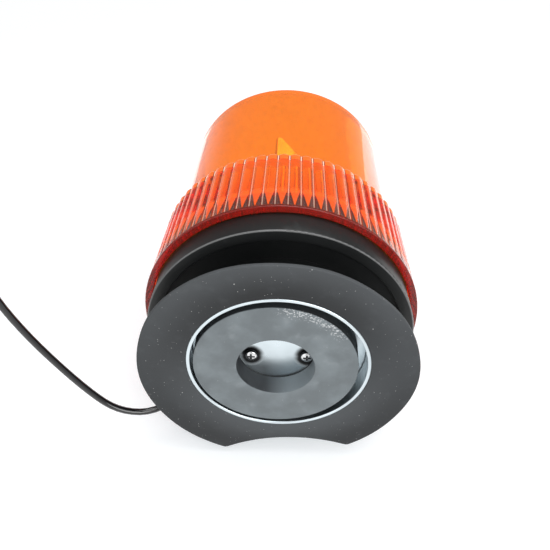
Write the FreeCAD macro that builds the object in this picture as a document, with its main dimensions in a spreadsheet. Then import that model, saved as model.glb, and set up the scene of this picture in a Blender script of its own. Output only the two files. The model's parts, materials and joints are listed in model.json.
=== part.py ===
import FreeCAD, Part
import math
import os

import Sketcher

# Magnetic rotating warning light, upright on its magnet.
# Millimetres, +Z up, origin on the axis at the magnet face.

SIZES = {
    # Magnet, steel pot and their screws
    "magnet_room": "2.5",
    "magnet_bore_radius": "16.6",
    "magnet_thickness": "10",
    "magnet_setback": "0.3",
    "magnet_edge": "0.5",
    "magnet_shift_across": "-1.2",
    "magnet_shift_along": "1",
    "pot_radius": "39",
    "pot_wall": "1.5",
    "pot_screw_room": "0.3",
    "pot_screw_row": "3",
    "pot_screw_radius": "1.75",
    "pot_screw_head_radius": "3",
    "pot_screw_head_height": "2.2",
    "pot_screw_dome": "1.5",
    "pot_screw_end": "0.9",
    "pot_nut_flat_radius": "3.5",
    "pot_nut_height": "2.8",
    # Rubber boot
    "boot_clamp_radius": "26",
    "boot_clamp_thickness": "2",
    "boot_neck_wall": "3",
    "boot_flange_radius": "60",
    "boot_flange_shift_across": "-0.5",
    "boot_flange_shift_along": "3.7",
    "boot_flange_thickness": "1.8",
    "boot_root_width": "4",
    "boot_edge_rounding": "0.6",
    "boot_notch_radius": "63.6",
    "boot_notch_reach": "49.4",
    "boot_notch_angle": "85.7",
    # Base housing
    "recess_width": "13",
    "hub_wall": "3",
    "hub_plate": "2",
    "lip_reach": "0.9",
    "lip_level": "18.5",
    "lip_rounding": "0.8",
    "base_floor_level": "24",
    "base_floor": "2.5",
    "collar_wall": "4.5",
    "collar_level": "41",
    # Lens
    "lens_rim_level": "30.6",
    "lens_band_level": "73.6",
    "lens_top_level": "149.3",
    "lens_band_radius_low": "61.2",
    "lens_band_taper": "2.6",
    "lens_rim_ring": "1.2",
    "lens_ledge": "5.1",
    "lens_drum_taper": "2.3",
    "lens_reeds": "72",
    "lens_reed_depth": "0.8",
    "lens_wall": "2.3",
    "lens_skirt_wall": "2.45",
    "lens_shoulder": "5",
    "lens_top_rounding": "1",
    "lens_fit": "0.45",
    # Bayonet of the lens
    "bayonet_lugs": "3",
    "bayonet_lug_angle": "12",
    "bayonet_lug_depth": "1.5",
    "bayonet_lug_height": "2.8",
    "bayonet_lug_level": "34",
    "bayonet_turn": "22",
    "bayonet_gap": "0.35",
    "bayonet_side_gap": "1",
    "gasket_thickness": "1.4",
    "gasket_inset": "0.7",
    "gasket_gap": "0.3",
    # Chassis plate and its screws
    "plate_level": "40",
    "plate_thickness": "1.5",
    "plate_gap": "0.5",
    "plate_posts": "3",
    "plate_post_radius": "4",
    "plate_post_inset": "3",
    "plate_post_angle": "60",
    "plate_screw_radius": "1.5",
    "plate_screw_head_radius": "2.8",
    "plate_screw_head_height": "2",
    "plate_screw_depth": "8",
    "screw_fit": "0.05",
    # Lamp post, its nut and the ring that keeps the rotor on it
    "post_radius": "9",
    "post_bore_radius": "6.2",
    "post_flange_radius": "11",
    "post_flange_height": "2.8",
    "post_thread_radius": "7.9",
    "post_thread_length": "4",
    "post_level": "56",
    "post_nut_flat_radius": "10",
    "post_nut_height": "3",
    "ring_width": "2.4",
    "ring_thickness": "1",
    "running_gap": "0.3",
    "bearing_gap": "0.06",
    # Lamp
    "holder_radius": "8.7",
    "holder_height": "17",
    "holder_floor": "1.2",
    "holder_hole_radius": "2.5",
    "holder_slot_width": "2.4",
    "holder_slot_depth": "7",
    "contact_disc_radius": "7.3",
    "contact_disc_thickness": "1",
    "contact_button_radius": "2",
    "contact_button_height": "0.7",
    "cap_radius": "7.5",
    "cap_gap": "0.15",
    "cap_wall": "0.6",
    "cap_height": "16",
    "cap_floor": "3.6",
    "cap_tip_radius": "2.5",
    "cap_shoulder": "1.4",
    "cap_pin_radius": "1",
    "cap_pin_reach": "0.9",
    "cap_pin_level": "67.5",
    "bulb_radius": "9.5",
    "bulb_neck_radius": "6.6",
    "bulb_wall": "0.6",
    "bulb_level": "86",
    "filament_length": "5",
    "filament_radius": "0.35",
    # Gears: 25 degree involute teeth
    "tooth_module": "0.8",
    "tooth_pressure_angle": "25",
    "tooth_addendum": "0.9",
    "tooth_dedendum": "1.2",
    "tooth_thinning": "0.12",
    "rotor_teeth": "60",
    "idler_pinion_teeth": "12",
    "idler_wheel_teeth": "36",
    "motor_pinion_teeth": "12",
    # Rotor and reflector
    "rotor_gear_level": "45.6",
    "rotor_gear_thickness": "3.4",
    "rotor_hub_radius": "11.5",
    "rotor_seat_radius": "17",
    "rotor_seat_level": "52",
    "rotor_spigot_radius": "11",
    "rotor_spigot_height": "1.5",
    "reflector_focus": "12",
    "reflector_wall": "1.2",
    "reflector_wing_radius": "39",
    "reflector_level": "121",
    "reflector_corner": "5",
    "reflector_foot": "1.5",
    "reflector_fit": "0.1",
    "reflector_screw_circle": "14",
    "reflector_screw_radius": "1",
    "reflector_screw_head_radius": "1.9",
    "reflector_screw_head_height": "1.2",
    "reflector_screw_depth": "2.5",
    "reflector_rest_angle": "195",
    # Idler
    "idler_angle": "-30",
    "idler_axle_radius": "1.5",
    "idler_shoulder_radius": "3",
    "idler_shoulder_height": "0.5",
    "idler_wheel_thickness": "2.6",
    "idler_pinion_thickness": "4.6",
    "idler_clip_radius": "3.2",
    "idler_clip_thickness": "0.6",
    "idler_axle_end": "0.4",
    # Motor
    "motor_angle": "80",
    "motor_radius": "12.2",
    "motor_height": "12.3",
    "motor_wall": "0.8",
    "motor_boss_radius": "3",
    "motor_boss_height": "1",
    "motor_cover_thickness": "2",
    "motor_shaft_radius": "1",
    "motor_shaft_gap": "0.06",
    "motor_pinion_thickness": "3",
    "motor_pinion_gap": "0.5",
    "motor_shaft_end": "0.5",
    "motor_screw_reach": "8",
    "motor_screw_radius": "1",
    "motor_screw_depth": "1.6",
    "motor_screw_head_radius": "1.9",
    "motor_screw_head_height": "1.2",
    # Cord, its grommet, coil and tie
    "cord_radius": "1.6",
    "cord_fit": "0.05",
    "cord_exit_angle": "142",
    "cord_start_level": "30",
    "cord_drop_level": "16.5",
    "grommet_radius": "3",
    "grommet_flange_radius": "4.5",
    "grommet_flange": "1.5",
    "grommet_nose_radius": "2.5",
    "grommet_nose": "0.6",
    "coil_centre_across": "-139.8",
    "coil_centre_along": "-74",
    "coil_mean_radius": "18",
    "coil_layers": "4",
    "coil_lift": "1",
    "tie_width": "4",
    "tie_thickness": "0.8",
    "tie_gap": "0.2",
    # Lighter plug
    "plug_tail_along": "-44",
    "plug_radius": "10.5",
    "plug_relief_length": "9",
    "plug_relief_tip_radius": "2.8",
    "plug_relief_root_radius": "4.2",
    "plug_body_length": "38",
    "plug_body_wall": "2",
    "plug_shoulder": "4",
    "plug_edge": "0.8",
    "plug_collar_radius": "9",
    "plug_collar_tip_radius": "7.5",
    "plug_collar_length": "7",
    "plug_collar_wall": "1.6",
    "plug_pin_radius": "3.8",
    "plug_pin_reach": "6",
    "plug_pin_nose": "1.9",
    "plug_pin_head_radius": "5.2",
    "plug_pin_head": "2",
    "plug_pin_gap": "0.3",
    "plug_contact_length": "16",
    "plug_contact_width": "5",
    "plug_contact_thickness": "0.8",
    "plug_contact_bulge": "1.5",
    "plug_contact_start": "20",
}

# Route of the supply cord after it turns below its grommet: across, along, up
CORD_ROUTE = (
    (-56.0, 41.3, 6.6),
    (-72.6, 36.4, 2.2),
    (-85.0, 21.5, 1.7),
    (-103.0, -10.0, 1.7),
    (-114.0, -38.0, 1.8),
    (-117.0, -66.0, 2.6),
)
CORD_TURN_SHARE = 0.45

# Points on each side of the reflector's middle
TROUGH_STEPS = 12

doc = FreeCAD.newDocument("warning_light")
sheet = doc.addObject("Spreadsheet::Sheet", "Sizes")
for row, (alias, number) in enumerate(SIZES.items(), 1):
    sheet.set(f"A{row}", alias)
    sheet.set(f"B{row}", number)
    sheet.setAlias(f"B{row}", alias)
doc.recompute()


class Amount:
    """A length or angle: its value now, and the formula over the sheet that gives it."""

    def __init__(self, value, formula):
        self.value = value
        self.formula = formula

    def joined(self, sign, other, value):
        return Amount(value, f"({self.formula} {sign} {amount(other).formula})")

    def __add__(self, other):
        return self.joined("+", other, self.value + amount(other).value)

    def __sub__(self, other):
        return self.joined("-", other, self.value - amount(other).value)

    def __mul__(self, other):
        return self.joined("*", other, self.value * amount(other).value)

    def __truediv__(self, other):
        return self.joined("/", other, self.value / amount(other).value)

    def __neg__(self):
        return Amount(0.0, "0") - self


def amount(given):
    """A plain number as an Amount; an Amount as it is."""
    return given if isinstance(given, Amount) else Amount(float(given), repr(float(given)))


def size(name):
    """The named size from the sheet."""
    return Amount(float(sheet.get(name)), f"Sizes.{name}")


def cosine(angle):
    return Amount(math.cos(math.radians(angle.value)), f"cos({angle.formula} * 1 deg)")


def sine(angle):
    return Amount(math.sin(math.radians(angle.value)), f"sin({angle.formula} * 1 deg)")


def root(given):
    return Amount(math.sqrt(given.value), f"sqrt({given.formula})")


ZERO = amount(0)
NODES = []


def new_body(label):
    """An empty body whose label names its file."""
    body = doc.addObject("PartDesign::Body", label)
    body.Label = label
    body.AllowCompound = True
    NODES.append(body)
    return body


def origin_feature(body, role):
    return next(feature for feature in body.Origin.OriginFeatures if feature.Role == role)


def place(body, across=ZERO, along=ZERO, up=ZERO, turn=None):
    """Move a body, and turn it about Z."""
    if turn is not None:
        rotation = FreeCAD.Rotation(FreeCAD.Vector(0, 0, 1), turn.value)
        body.Placement = FreeCAD.Placement(FreeCAD.Vector(), rotation)
        body.setExpression("Placement.Rotation.Angle", turn.formula)
    for name, distance in (("x", across), ("y", along), ("z", up)):
        body.setExpression(f"Placement.Base.{name}", distance.formula)


class Drawing:
    """A sketch on one of its body's origin planes, with its points tied to the sheet."""

    def __init__(self, body, name, plane, lift=ZERO, turn=ZERO, across=ZERO):
        self.sketch = body.newObject("Sketcher::SketchObject", name)
        self.sketch.AttachmentSupport = [(origin_feature(body, plane), "")]
        self.sketch.MapMode = "FlatFace"
        turned = FreeCAD.Rotation(FreeCAD.Vector(0, 0, 1), turn.value)
        shift = FreeCAD.Vector(across.value, 0, lift.value)
        self.sketch.AttachmentOffset = FreeCAD.Placement(shift, turned)
        if turn is not ZERO:
            self.sketch.setExpression("AttachmentOffset.Rotation.Angle", turn.formula)
        self.sketch.setExpression("AttachmentOffset.Base.x", across.formula)
        self.sketch.setExpression("AttachmentOffset.Base.z", lift.formula)

    def tie(self, kind, given, *where):
        """Add a constraint that has a value, and tie the value to the sheet."""
        index = self.sketch.addConstraint(Sketcher.Constraint(kind, *where, given.value))
        self.sketch.setExpression(f"Constraints[{index}]", given.formula)

    def pin(self, geometry, end, x, y):
        """Tie a point of the geometry to a place."""
        self.tie("DistanceX", x, -1, 1, geometry, end)
        self.tie("DistanceY", y, -1, 1, geometry, end)

    def polygon(self, points):
        """A closed outline of straight lines."""
        corners = [FreeCAD.Vector(x.value, y.value, 0) for x, y in points]
        following = corners[1:] + corners[:1]
        lines = [self.sketch.addGeometry(Part.LineSegment(a, b)) for a, b in zip(corners, following)]
        for line, after in zip(lines, lines[1:] + lines[:1]):
            self.sketch.addConstraint(Sketcher.Constraint("Coincident", line, 2, after, 1))
        for line, (x, y) in zip(lines, points):
            self.pin(line, 1, x, y)

    def rectangle(self, x0, y0, x1, y1):
        self.polygon([(x0, y0), (x1, y0), (x1, y1), (x0, y1)])

    def circle(self, radius, x=ZERO, y=ZERO):
        middle = FreeCAD.Vector(x.value, y.value, 0)
        index = self.sketch.addGeometry(Part.Circle(middle, FreeCAD.Vector(0, 0, 1), radius.value))
        self.pin(index, 3, x, y)
        self.tie("Radius", radius, index)

    def hexagon(self, flat_radius):
        """A nut's outline, from half its width across flats."""
        corner = flat_radius / cosine(amount(30))
        angles = [amount(60 * step) for step in range(6)]
        self.polygon([(corner * cosine(angle), corner * sine(angle)) for angle in angles])

    def sector(self, inner, outer, start, end):
        """A piece of a flat ring between two angles in degrees."""
        middle = FreeCAD.Vector()
        up = FreeCAD.Vector(0, 0, 1)
        low, high = math.radians(start.value), math.radians(end.value)
        arcs = []
        for radius in (inner, outer):
            arc = self.sketch.addGeometry(Part.ArcOfCircle(Part.Circle(middle, up, radius.value), low, high))
            self.sketch.addConstraint(Sketcher.Constraint("Coincident", arc, 3, -1, 1))
            self.tie("Radius", radius, arc)
            arcs.append(arc)
        for end_index, angle in ((1, start), (2, end)):
            tips = [self.sketch.getPoint(arc, end_index) for arc in arcs]
            line = self.sketch.addGeometry(Part.LineSegment(*tips))
            self.sketch.addConstraint(Sketcher.Constraint("Coincident", line, 1, arcs[0], end_index))
            self.sketch.addConstraint(Sketcher.Constraint("Coincident", line, 2, arcs[1], end_index))
            self.tie("DistanceY", inner * sine(angle), -1, 1, line, 1)
            self.tie("DistanceY", outer * sine(angle), -1, 1, line, 2)

    def free(self, curves):
        """Curves that a formula in this script places, from the sheet's values."""
        for curve in curves:
            self.sketch.addGeometry(curve)


def feature(body, kind, name, drawing):
    made = body.newObject(f"PartDesign::{kind}", name)
    made.Profile = drawing.sketch
    return made


def revolve(body, name, points, kind="Revolution", across=ZERO, lift=ZERO):
    """Turn an outline of radius and height about its own upright axis."""
    drawing = Drawing(body, f"{name}_outline", "XZ_Plane", across=across, lift=lift)
    drawing.polygon(points)
    made = feature(body, kind, name, drawing)
    made.ReferenceAxis = (drawing.sketch, ["V_Axis"])
    made.Angle = 360
    return made


def pad(body, name, drawing, length, both_sides=False):
    made = feature(body, "Pad", name, drawing)
    made.Length = length.value
    made.setExpression("Length", length.formula)
    made.Midplane = both_sides
    return made


def pocket(body, name, drawing, length):
    """Cut downward from the drawing."""
    made = feature(body, "Pocket", name, drawing)
    made.Length = length.value
    made.setExpression("Length", length.formula)
    return made


def repeat_round(body, name, original, count):
    """Copies of a feature, evenly round the body's Z axis."""
    made = body.newObject("PartDesign::PolarPattern", name)
    made.Originals = [original]
    made.Axis = (origin_feature(body, "Z_Axis"), [""])
    made.Angle = 360
    made.Occurrences = int(count.value)
    made.setExpression("Occurrences", count.formula)
    body.Tip = made
    return made


def mirror(body, name, original, plane):
    made = body.newObject("PartDesign::Mirrored", name)
    made.Originals = [original]
    made.MirrorPlane = (origin_feature(body, plane), [""])
    body.Tip = made
    return made


def ring_edge(radius, level):
    """A test for the round edge of that radius at that height."""

    def chosen(edge):
        curve = edge.Curve
        is_ring = isinstance(curve, Part.Circle)
        return is_ring and math.isclose(curve.Radius, radius.value, abs_tol=1e-4) and math.isclose(
            curve.Center.z, level.value, abs_tol=1e-4
        )

    return chosen


def soften(body, name, kind, width, *tests):
    """A fillet or chamfer on the edges that any of the tests picks."""
    doc.recompute()
    base = body.Tip
    numbers = [
        f"Edge{number}"
        for number, edge in enumerate(base.Shape.Edges, 1)
        if any(test(edge) for test in tests)
    ]
    made = body.newObject(f"PartDesign::{kind}", name)
    made.Base = (base, numbers)
    dimension = "Radius" if kind == "Fillet" else "Size"
    setattr(made, dimension, width.value)
    made.setExpression(dimension, width.formula)
    return made


def polar_point(radius, angle):
    return FreeCAD.Vector(radius * math.cos(angle), radius * math.sin(angle), 0)


def gear_outline(teeth):
    """The edges of a spur gear's outline, one tooth centred on the X axis."""
    module = size("tooth_module").value
    pitch_radius = module * teeth / 2
    pressure = math.radians(size("tooth_pressure_angle").value)
    base_radius = pitch_radius * math.cos(pressure)
    tip_radius = pitch_radius + module * size("tooth_addendum").value
    root_radius = pitch_radius - module * size("tooth_dedendum").value
    half_at_pitch = math.pi / (2 * teeth) - size("tooth_thinning").value / (2 * pitch_radius)

    def half_angle(radius):
        opening = math.acos(base_radius / max(radius, base_radius))
        return half_at_pitch + math.tan(pressure) - pressure - math.tan(opening) + opening

    edges = []
    for tooth in range(teeth):
        middle = 2 * math.pi * tooth / teeth
        following = 2 * math.pi * (tooth + 1) / teeth
        rising = [polar_point(r, middle - half_angle(r)) for r in (root_radius, pitch_radius, tip_radius)]
        falling = [polar_point(r, middle + half_angle(r)) for r in (tip_radius, pitch_radius, root_radius)]
        edges.append(Part.Arc(*rising))
        edges.append(Part.LineSegment(rising[2], falling[0]))
        edges.append(Part.Arc(*falling))
        next_root = polar_point(root_radius, following - half_angle(root_radius))
        edges.append(Part.LineSegment(falling[2], next_root))
    return edges


def gear(body, name, teeth, level, thickness, bore):
    """A spur gear with a round bore."""
    drawing = Drawing(body, f"{name}_outline", "XY_Plane", lift=level)
    drawing.free(gear_outline(int(teeth.value)))
    drawing.circle(bore)
    return pad(body, name, drawing, thickness)


# Heights and radii that several pieces share
pot_floor = size("magnet_setback") + size("magnet_thickness")
pot_top = pot_floor + size("pot_wall")
hub_bottom = pot_top + size("boot_clamp_thickness")
hub_floor = hub_bottom + size("hub_plate")
base_floor_top = size("base_floor_level") + size("base_floor")
magnet_radius = size("pot_radius") - size("pot_wall") - size("magnet_room")
magnet_bore_side = size("magnet_bore_radius") + size("magnet_shift_across")
pot_screw_reach = magnet_bore_side - size("pot_screw_head_radius") - size("pot_screw_room")
lens_inner_low = size("lens_band_radius_low") - size("lens_reed_depth") - size("lens_skirt_wall")
lens_band_high = size("lens_band_radius_low") - size("lens_band_taper")
lens_drum_low = lens_band_high - size("lens_ledge")
lens_drum_high = lens_drum_low - size("lens_drum_taper")
lens_shelf = size("collar_level") + size("gasket_thickness") + size("gasket_gap")
collar_radius = lens_inner_low - size("lens_fit")
collar_inner = collar_radius - size("collar_wall")
lip_radius = collar_radius + size("lip_reach")
hub_radius = collar_inner - size("recess_width")
cord_exit_reach = hub_radius + size("recess_width") / 2
cord_exit_across = cord_exit_reach * cosine(size("cord_exit_angle"))
cord_exit_along = cord_exit_reach * sine(size("cord_exit_angle"))
plate_top = size("plate_level") + size("plate_thickness")
plate_post_circle = collar_inner - size("plate_post_inset") - size("plate_post_radius")
post_flange_top = plate_top + size("post_flange_height")
rotor_bottom = post_flange_top + size("running_gap")
rotor_gear_top = size("rotor_gear_level") + size("rotor_gear_thickness")
rotor_top = size("rotor_seat_level") + size("rotor_spigot_height")
bearing_radius = size("post_radius") + size("bearing_gap")
ring_level = rotor_top + size("running_gap")
idler_wheel_level = plate_top + size("idler_shoulder_height") + size("running_gap")
idler_pinion_level = idler_wheel_level + size("idler_wheel_thickness")
idler_top = idler_pinion_level + size("idler_pinion_thickness")
idler_distance = size("tooth_module") * (size("rotor_teeth") + size("idler_pinion_teeth")) / 2
idler_across = idler_distance * cosine(size("idler_angle"))
idler_along = idler_distance * sine(size("idler_angle"))
motor_distance = size("tooth_module") * (size("idler_wheel_teeth") + size("motor_pinion_teeth")) / 2
motor_across = idler_across + motor_distance * cosine(size("motor_angle"))
motor_along = idler_along + motor_distance * sine(size("motor_angle"))

# Turns that bring a tooth of one gear into the gap of the next
full_turn = amount(360)
rotor_turn = size("reflector_rest_angle")
rotor_pitches = (size("idler_angle") - rotor_turn) * size("rotor_teeth") / full_turn + 0.5
idler_turn = size("idler_angle") + 180 + rotor_pitches * full_turn / size("idler_pinion_teeth")
idler_pitches = (size("motor_angle") - idler_turn) * size("idler_wheel_teeth") / full_turn + 0.5
motor_turn = size("motor_angle") + 180 + idler_pitches * full_turn / size("motor_pinion_teeth")


def make_magnet_unit():
    """Pot, ring magnet, the two screws and their nuts."""
    pot = new_body("magnet_pot")
    inner = size("pot_radius") - size("pot_wall")
    revolve(pot, "pot_cup", [
        (ZERO, pot_floor), (inner, pot_floor), (inner, ZERO),
        (size("pot_radius"), ZERO), (size("pot_radius"), pot_top), (ZERO, pot_top),
    ])
    screw_holes(pot, "pot", pot_top, size("pot_wall"))

    magnet = new_body("ring_magnet")
    revolve(magnet, "magnet_ring", [
        (size("magnet_bore_radius"), size("magnet_setback")), (magnet_radius, size("magnet_setback")),
        (magnet_radius, pot_floor), (size("magnet_bore_radius"), pot_floor),
    ])
    soften(
        magnet, "magnet_edges", "Chamfer", size("magnet_edge"),
        ring_edge(size("magnet_bore_radius"), size("magnet_setback")),
        ring_edge(magnet_radius, size("magnet_setback")),
    )
    place(magnet, size("magnet_shift_across"), size("magnet_shift_along"))

    screws = new_body("pot_screws")
    head_low = pot_floor - size("pot_screw_head_height")
    screw_end = hub_floor + size("pot_nut_height") + size("pot_screw_end")
    screw = revolve(screws, "pot_screw", [
        (ZERO, head_low), (size("pot_screw_head_radius"), head_low),
        (size("pot_screw_head_radius"), pot_floor),
        (size("pot_screw_radius"), pot_floor), (size("pot_screw_radius"), screw_end), (ZERO, screw_end),
    ], across=pot_screw_reach)
    soften(
        screws, "pot_screw_dome", "Fillet", size("pot_screw_dome"),
        ring_edge(size("pot_screw_head_radius"), head_low),
    )
    dome = screws.Tip
    both = mirror(screws, "pot_screw_pair", screw, "YZ_Plane")
    both.Originals = [screw, dome]
    place(screws, along=size("pot_screw_row"))

    nuts = new_body("pot_nuts")
    drawing = Drawing(nuts, "pot_nut_outline", "XY_Plane", lift=hub_floor, across=pot_screw_reach)
    drawing.hexagon(size("pot_nut_flat_radius"))
    drawing.circle(size("pot_screw_radius") + size("screw_fit"))
    nut = pad(nuts, "pot_nut", drawing, size("pot_nut_height"))
    mirror(nuts, "pot_nut_pair", nut, "YZ_Plane")
    place(nuts, along=size("pot_screw_row"))


def screw_holes(body, name, level, depth):
    """The two holes for the pot screws, cut downward from a level."""
    drawing = Drawing(body, f"{name}_screw_hole_outline", "XY_Plane", lift=level)
    for side in (pot_screw_reach, -pot_screw_reach):
        drawing.circle(size("pot_screw_radius") + size("screw_fit"), side, size("pot_screw_row"))
    pocket(body, f"{name}_screw_holes", drawing, depth)


def make_boot():
    """Rubber collar round the pot, with a flange that lies a little off its axis and has one notch."""
    boot = new_body("rubber_boot")
    inner = size("pot_radius") + size("screw_fit")
    neck = size("pot_radius") + size("boot_neck_wall")
    flange_top = size("boot_flange_thickness")
    revolve(boot, "boot_collar", [
        (size("boot_clamp_radius"), pot_top), (size("boot_clamp_radius"), hub_bottom), (neck, hub_bottom),
        (neck, flange_top + size("boot_neck_wall")), (neck + size("boot_root_width"), flange_top),
        (neck + size("boot_root_width"), ZERO), (inner, ZERO), (inner, pot_top),
    ])
    drawing = Drawing(boot, "boot_flange_outline", "XY_Plane")
    drawing.circle(
        size("boot_flange_radius"), size("boot_flange_shift_across"), size("boot_flange_shift_along"),
    )
    drawing.circle(inner)
    pad(boot, "boot_flange", drawing, flange_top)
    soften(
        boot, "boot_edge", "Fillet", size("boot_edge_rounding"),
        ring_edge(size("boot_flange_radius"), flange_top), ring_edge(size("boot_flange_radius"), ZERO),
    )
    drawing = Drawing(boot, "boot_notch_outline", "XY_Plane", lift=hub_bottom, turn=size("boot_notch_angle"))
    drawing.circle(size("boot_notch_radius"), size("boot_notch_reach") + size("boot_notch_radius"))
    pocket(boot, "boot_notch", drawing, hub_bottom)


def make_base():
    """Base housing: hub, floor, skirt with lip, collar with bayonet slots, posts."""
    base = new_body("base_housing")
    hub_inner = hub_radius - size("hub_wall")
    revolve(base, "base_shell", [
        (ZERO, hub_bottom), (hub_radius, hub_bottom), (hub_radius, size("base_floor_level")),
        (collar_inner, size("base_floor_level")), (collar_inner, size("lip_level")),
        (lip_radius, size("lip_level")), (collar_radius, size("lens_rim_level")),
        (collar_radius, size("collar_level")), (collar_inner, size("collar_level")),
        (collar_inner, base_floor_top), (hub_inner, base_floor_top),
        (hub_inner, hub_floor), (ZERO, hub_floor),
    ])
    soften(
        base, "lip_edges", "Fillet", size("lip_rounding"),
        ring_edge(lip_radius, size("lip_level")), ring_edge(collar_inner, size("lip_level")),
    )
    screw_holes(base, "hub", hub_floor, size("hub_plate"))

    drawing = Drawing(base, "grommet_hole_outline", "XY_Plane", lift=base_floor_top)
    drawing.circle(size("grommet_radius") + size("cord_fit"), cord_exit_across, cord_exit_along)
    pocket(base, "grommet_hole", drawing, size("base_floor"))

    slot_floor = lens_inner_low - size("bayonet_lug_depth") - size("bayonet_gap")
    slot_low = size("bayonet_lug_level") - size("bayonet_gap")
    slot_high = size("bayonet_lug_level") + size("bayonet_lug_height") + size("bayonet_gap")
    slot_start = -size("bayonet_lug_angle") / 2 - size("bayonet_side_gap")
    entry_start = size("bayonet_turn") - size("bayonet_lug_angle") / 2 - size("bayonet_side_gap")
    slot_end = size("bayonet_turn") + size("bayonet_lug_angle") / 2 + size("bayonet_side_gap")
    drawing = Drawing(base, "lock_slot_outline", "XY_Plane", lift=slot_high)
    drawing.sector(slot_floor, lip_radius, slot_start, slot_end)
    slot = pocket(base, "lock_slot", drawing, slot_high - slot_low)
    repeat_round(base, "lock_slots", slot, size("bayonet_lugs"))
    drawing = Drawing(base, "entry_slot_outline", "XY_Plane", lift=size("collar_level"))
    drawing.sector(slot_floor, lip_radius, entry_start, slot_end)
    entry = pocket(base, "entry_slot", drawing, size("collar_level") - slot_low)
    repeat_round(base, "entry_slots", entry, size("bayonet_lugs"))

    post_angle = size("plate_post_angle")
    drawing = Drawing(base, "post_outline", "XY_Plane", lift=base_floor_top, turn=post_angle)
    drawing.circle(size("plate_post_radius"), plate_post_circle)
    post = pad(base, "post", drawing, size("plate_level") - base_floor_top)
    repeat_round(base, "posts", post, size("plate_posts"))
    drawing = Drawing(base, "post_hole_outline", "XY_Plane", lift=size("plate_level"), turn=post_angle)
    drawing.circle(size("plate_screw_radius") + size("screw_fit"), plate_post_circle)
    hole = pocket(base, "post_hole", drawing, size("plate_screw_depth") + size("running_gap"))
    repeat_round(base, "post_holes", hole, size("plate_posts"))


def make_lens():
    """Amber lens: plain rim, reeded band, smooth drum, bayonet lugs, and the gasket under its shelf."""
    lens = new_body("lens")
    reeds = int(size("lens_reeds").value)
    ring_top = size("lens_rim_level") + size("lens_rim_ring")
    outlines = []
    for name, level, crest in (
        ("band_low", ring_top, size("lens_band_radius_low")),
        ("band_high", size("lens_band_level"), lens_band_high),
    ):
        drawing = Drawing(lens, name, "XY_Plane", lift=level)
        drawing.free(reed_outline(reeds, crest.value, size("lens_reed_depth").value))
        outlines.append(drawing.sketch)
    band = lens.newObject("PartDesign::AdditiveLoft", "reeded_band")
    band.Profile = outlines[0]
    band.Sections = [outlines[1]]
    band.Ruled = True

    drawing = Drawing(lens, "rim_outline", "XY_Plane", lift=size("lens_rim_level"))
    drawing.circle(size("lens_band_radius_low"))
    pad(lens, "rim", drawing, size("lens_rim_ring"))

    low, high = lens_drum_low, lens_drum_high
    seat = size("lens_band_level") - size("lens_wall")
    revolve(lens, "drum", [
        (ZERO, seat), (low, seat), (low, size("lens_band_level")),
        (high, size("lens_top_level")), (ZERO, size("lens_top_level")),
    ])
    soften(lens, "drum_edge", "Fillet", size("lens_top_rounding"), ring_edge(high, size("lens_top_level")))
    band_inner = lens_band_high - size("lens_reed_depth") - size("lens_wall")
    revolve(lens, "hollow", [
        (ZERO, size("lens_rim_level")), (lens_inner_low, size("lens_rim_level")),
        (lens_inner_low, lens_shelf),
        (band_inner, lens_shelf), (band_inner, seat - size("lens_shoulder")), (low - size("lens_wall"), seat),
        (high - size("lens_wall"), size("lens_top_level") - size("lens_wall")),
        (ZERO, size("lens_top_level") - size("lens_wall")),
    ], kind="Groove")

    drawing = Drawing(lens, "lug_outline", "XY_Plane", lift=size("bayonet_lug_level"))
    half = size("bayonet_lug_angle") / 2
    drawing.sector(lens_inner_low - size("bayonet_lug_depth"), lens_inner_low + size("lens_fit"), -half, half)
    lug = pad(lens, "lug", drawing, size("bayonet_lug_height"))
    repeat_round(lens, "lugs", lug, size("bayonet_lugs"))

    gasket = new_body("lens_gasket")
    gasket_top = size("collar_level") + size("gasket_thickness")
    inner, outer = collar_inner + size("gasket_inset"), collar_radius - size("gasket_inset")
    revolve(gasket, "gasket_ring", [
        (inner, size("collar_level")), (outer, size("collar_level")),
        (outer, gasket_top), (inner, gasket_top),
    ])


def reed_outline(count, crest, depth):
    """A round outline of convex reeds: arcs from valley to valley over each crest."""
    step = 2 * math.pi / count
    return [
        Part.Arc(
            polar_point(crest - depth, (reed - 0.5) * step),
            polar_point(crest, reed * step),
            polar_point(crest - depth, (reed + 0.5) * step),
        )
        for reed in range(count)
    ]


def make_chassis():
    """Plate that carries the drive, with its three screws."""
    plate = new_body("chassis_plate")
    drawing = Drawing(plate, "plate_outline", "XY_Plane", lift=size("plate_level"))
    drawing.circle(collar_inner - size("plate_gap"))
    drawing.circle(size("post_thread_radius") + size("screw_fit"))
    drawing.circle(size("idler_axle_radius") + size("screw_fit"), idler_across, idler_along)
    drawing.circle(size("motor_boss_radius") + size("screw_fit"), motor_across, motor_along)
    for x, y in motor_screw_places():
        drawing.circle(size("motor_screw_radius") + size("screw_fit"), motor_across + x, motor_along + y)
    pad(plate, "plate", drawing, size("plate_thickness"))
    drawing = Drawing(plate, "plate_hole_outline", "XY_Plane", lift=plate_top, turn=size("plate_post_angle"))
    drawing.circle(size("plate_screw_radius") + size("screw_fit"), plate_post_circle)
    hole = pocket(plate, "plate_hole", drawing, size("plate_thickness"))
    repeat_round(plate, "plate_holes", hole, size("plate_posts"))

    screws = new_body("chassis_screws")
    head_top = plate_top + size("plate_screw_head_height")
    low = size("plate_level") - size("plate_screw_depth")
    screw = revolve(screws, "chassis_screw", [
        (ZERO, low), (size("plate_screw_radius"), low), (size("plate_screw_radius"), plate_top),
        (size("plate_screw_head_radius"), plate_top),
        (size("plate_screw_head_radius"), head_top), (ZERO, head_top),
    ], across=plate_post_circle)
    repeat_round(screws, "chassis_screw_ring", screw, size("plate_posts"))
    place(screws, turn=size("plate_post_angle"))


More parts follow.
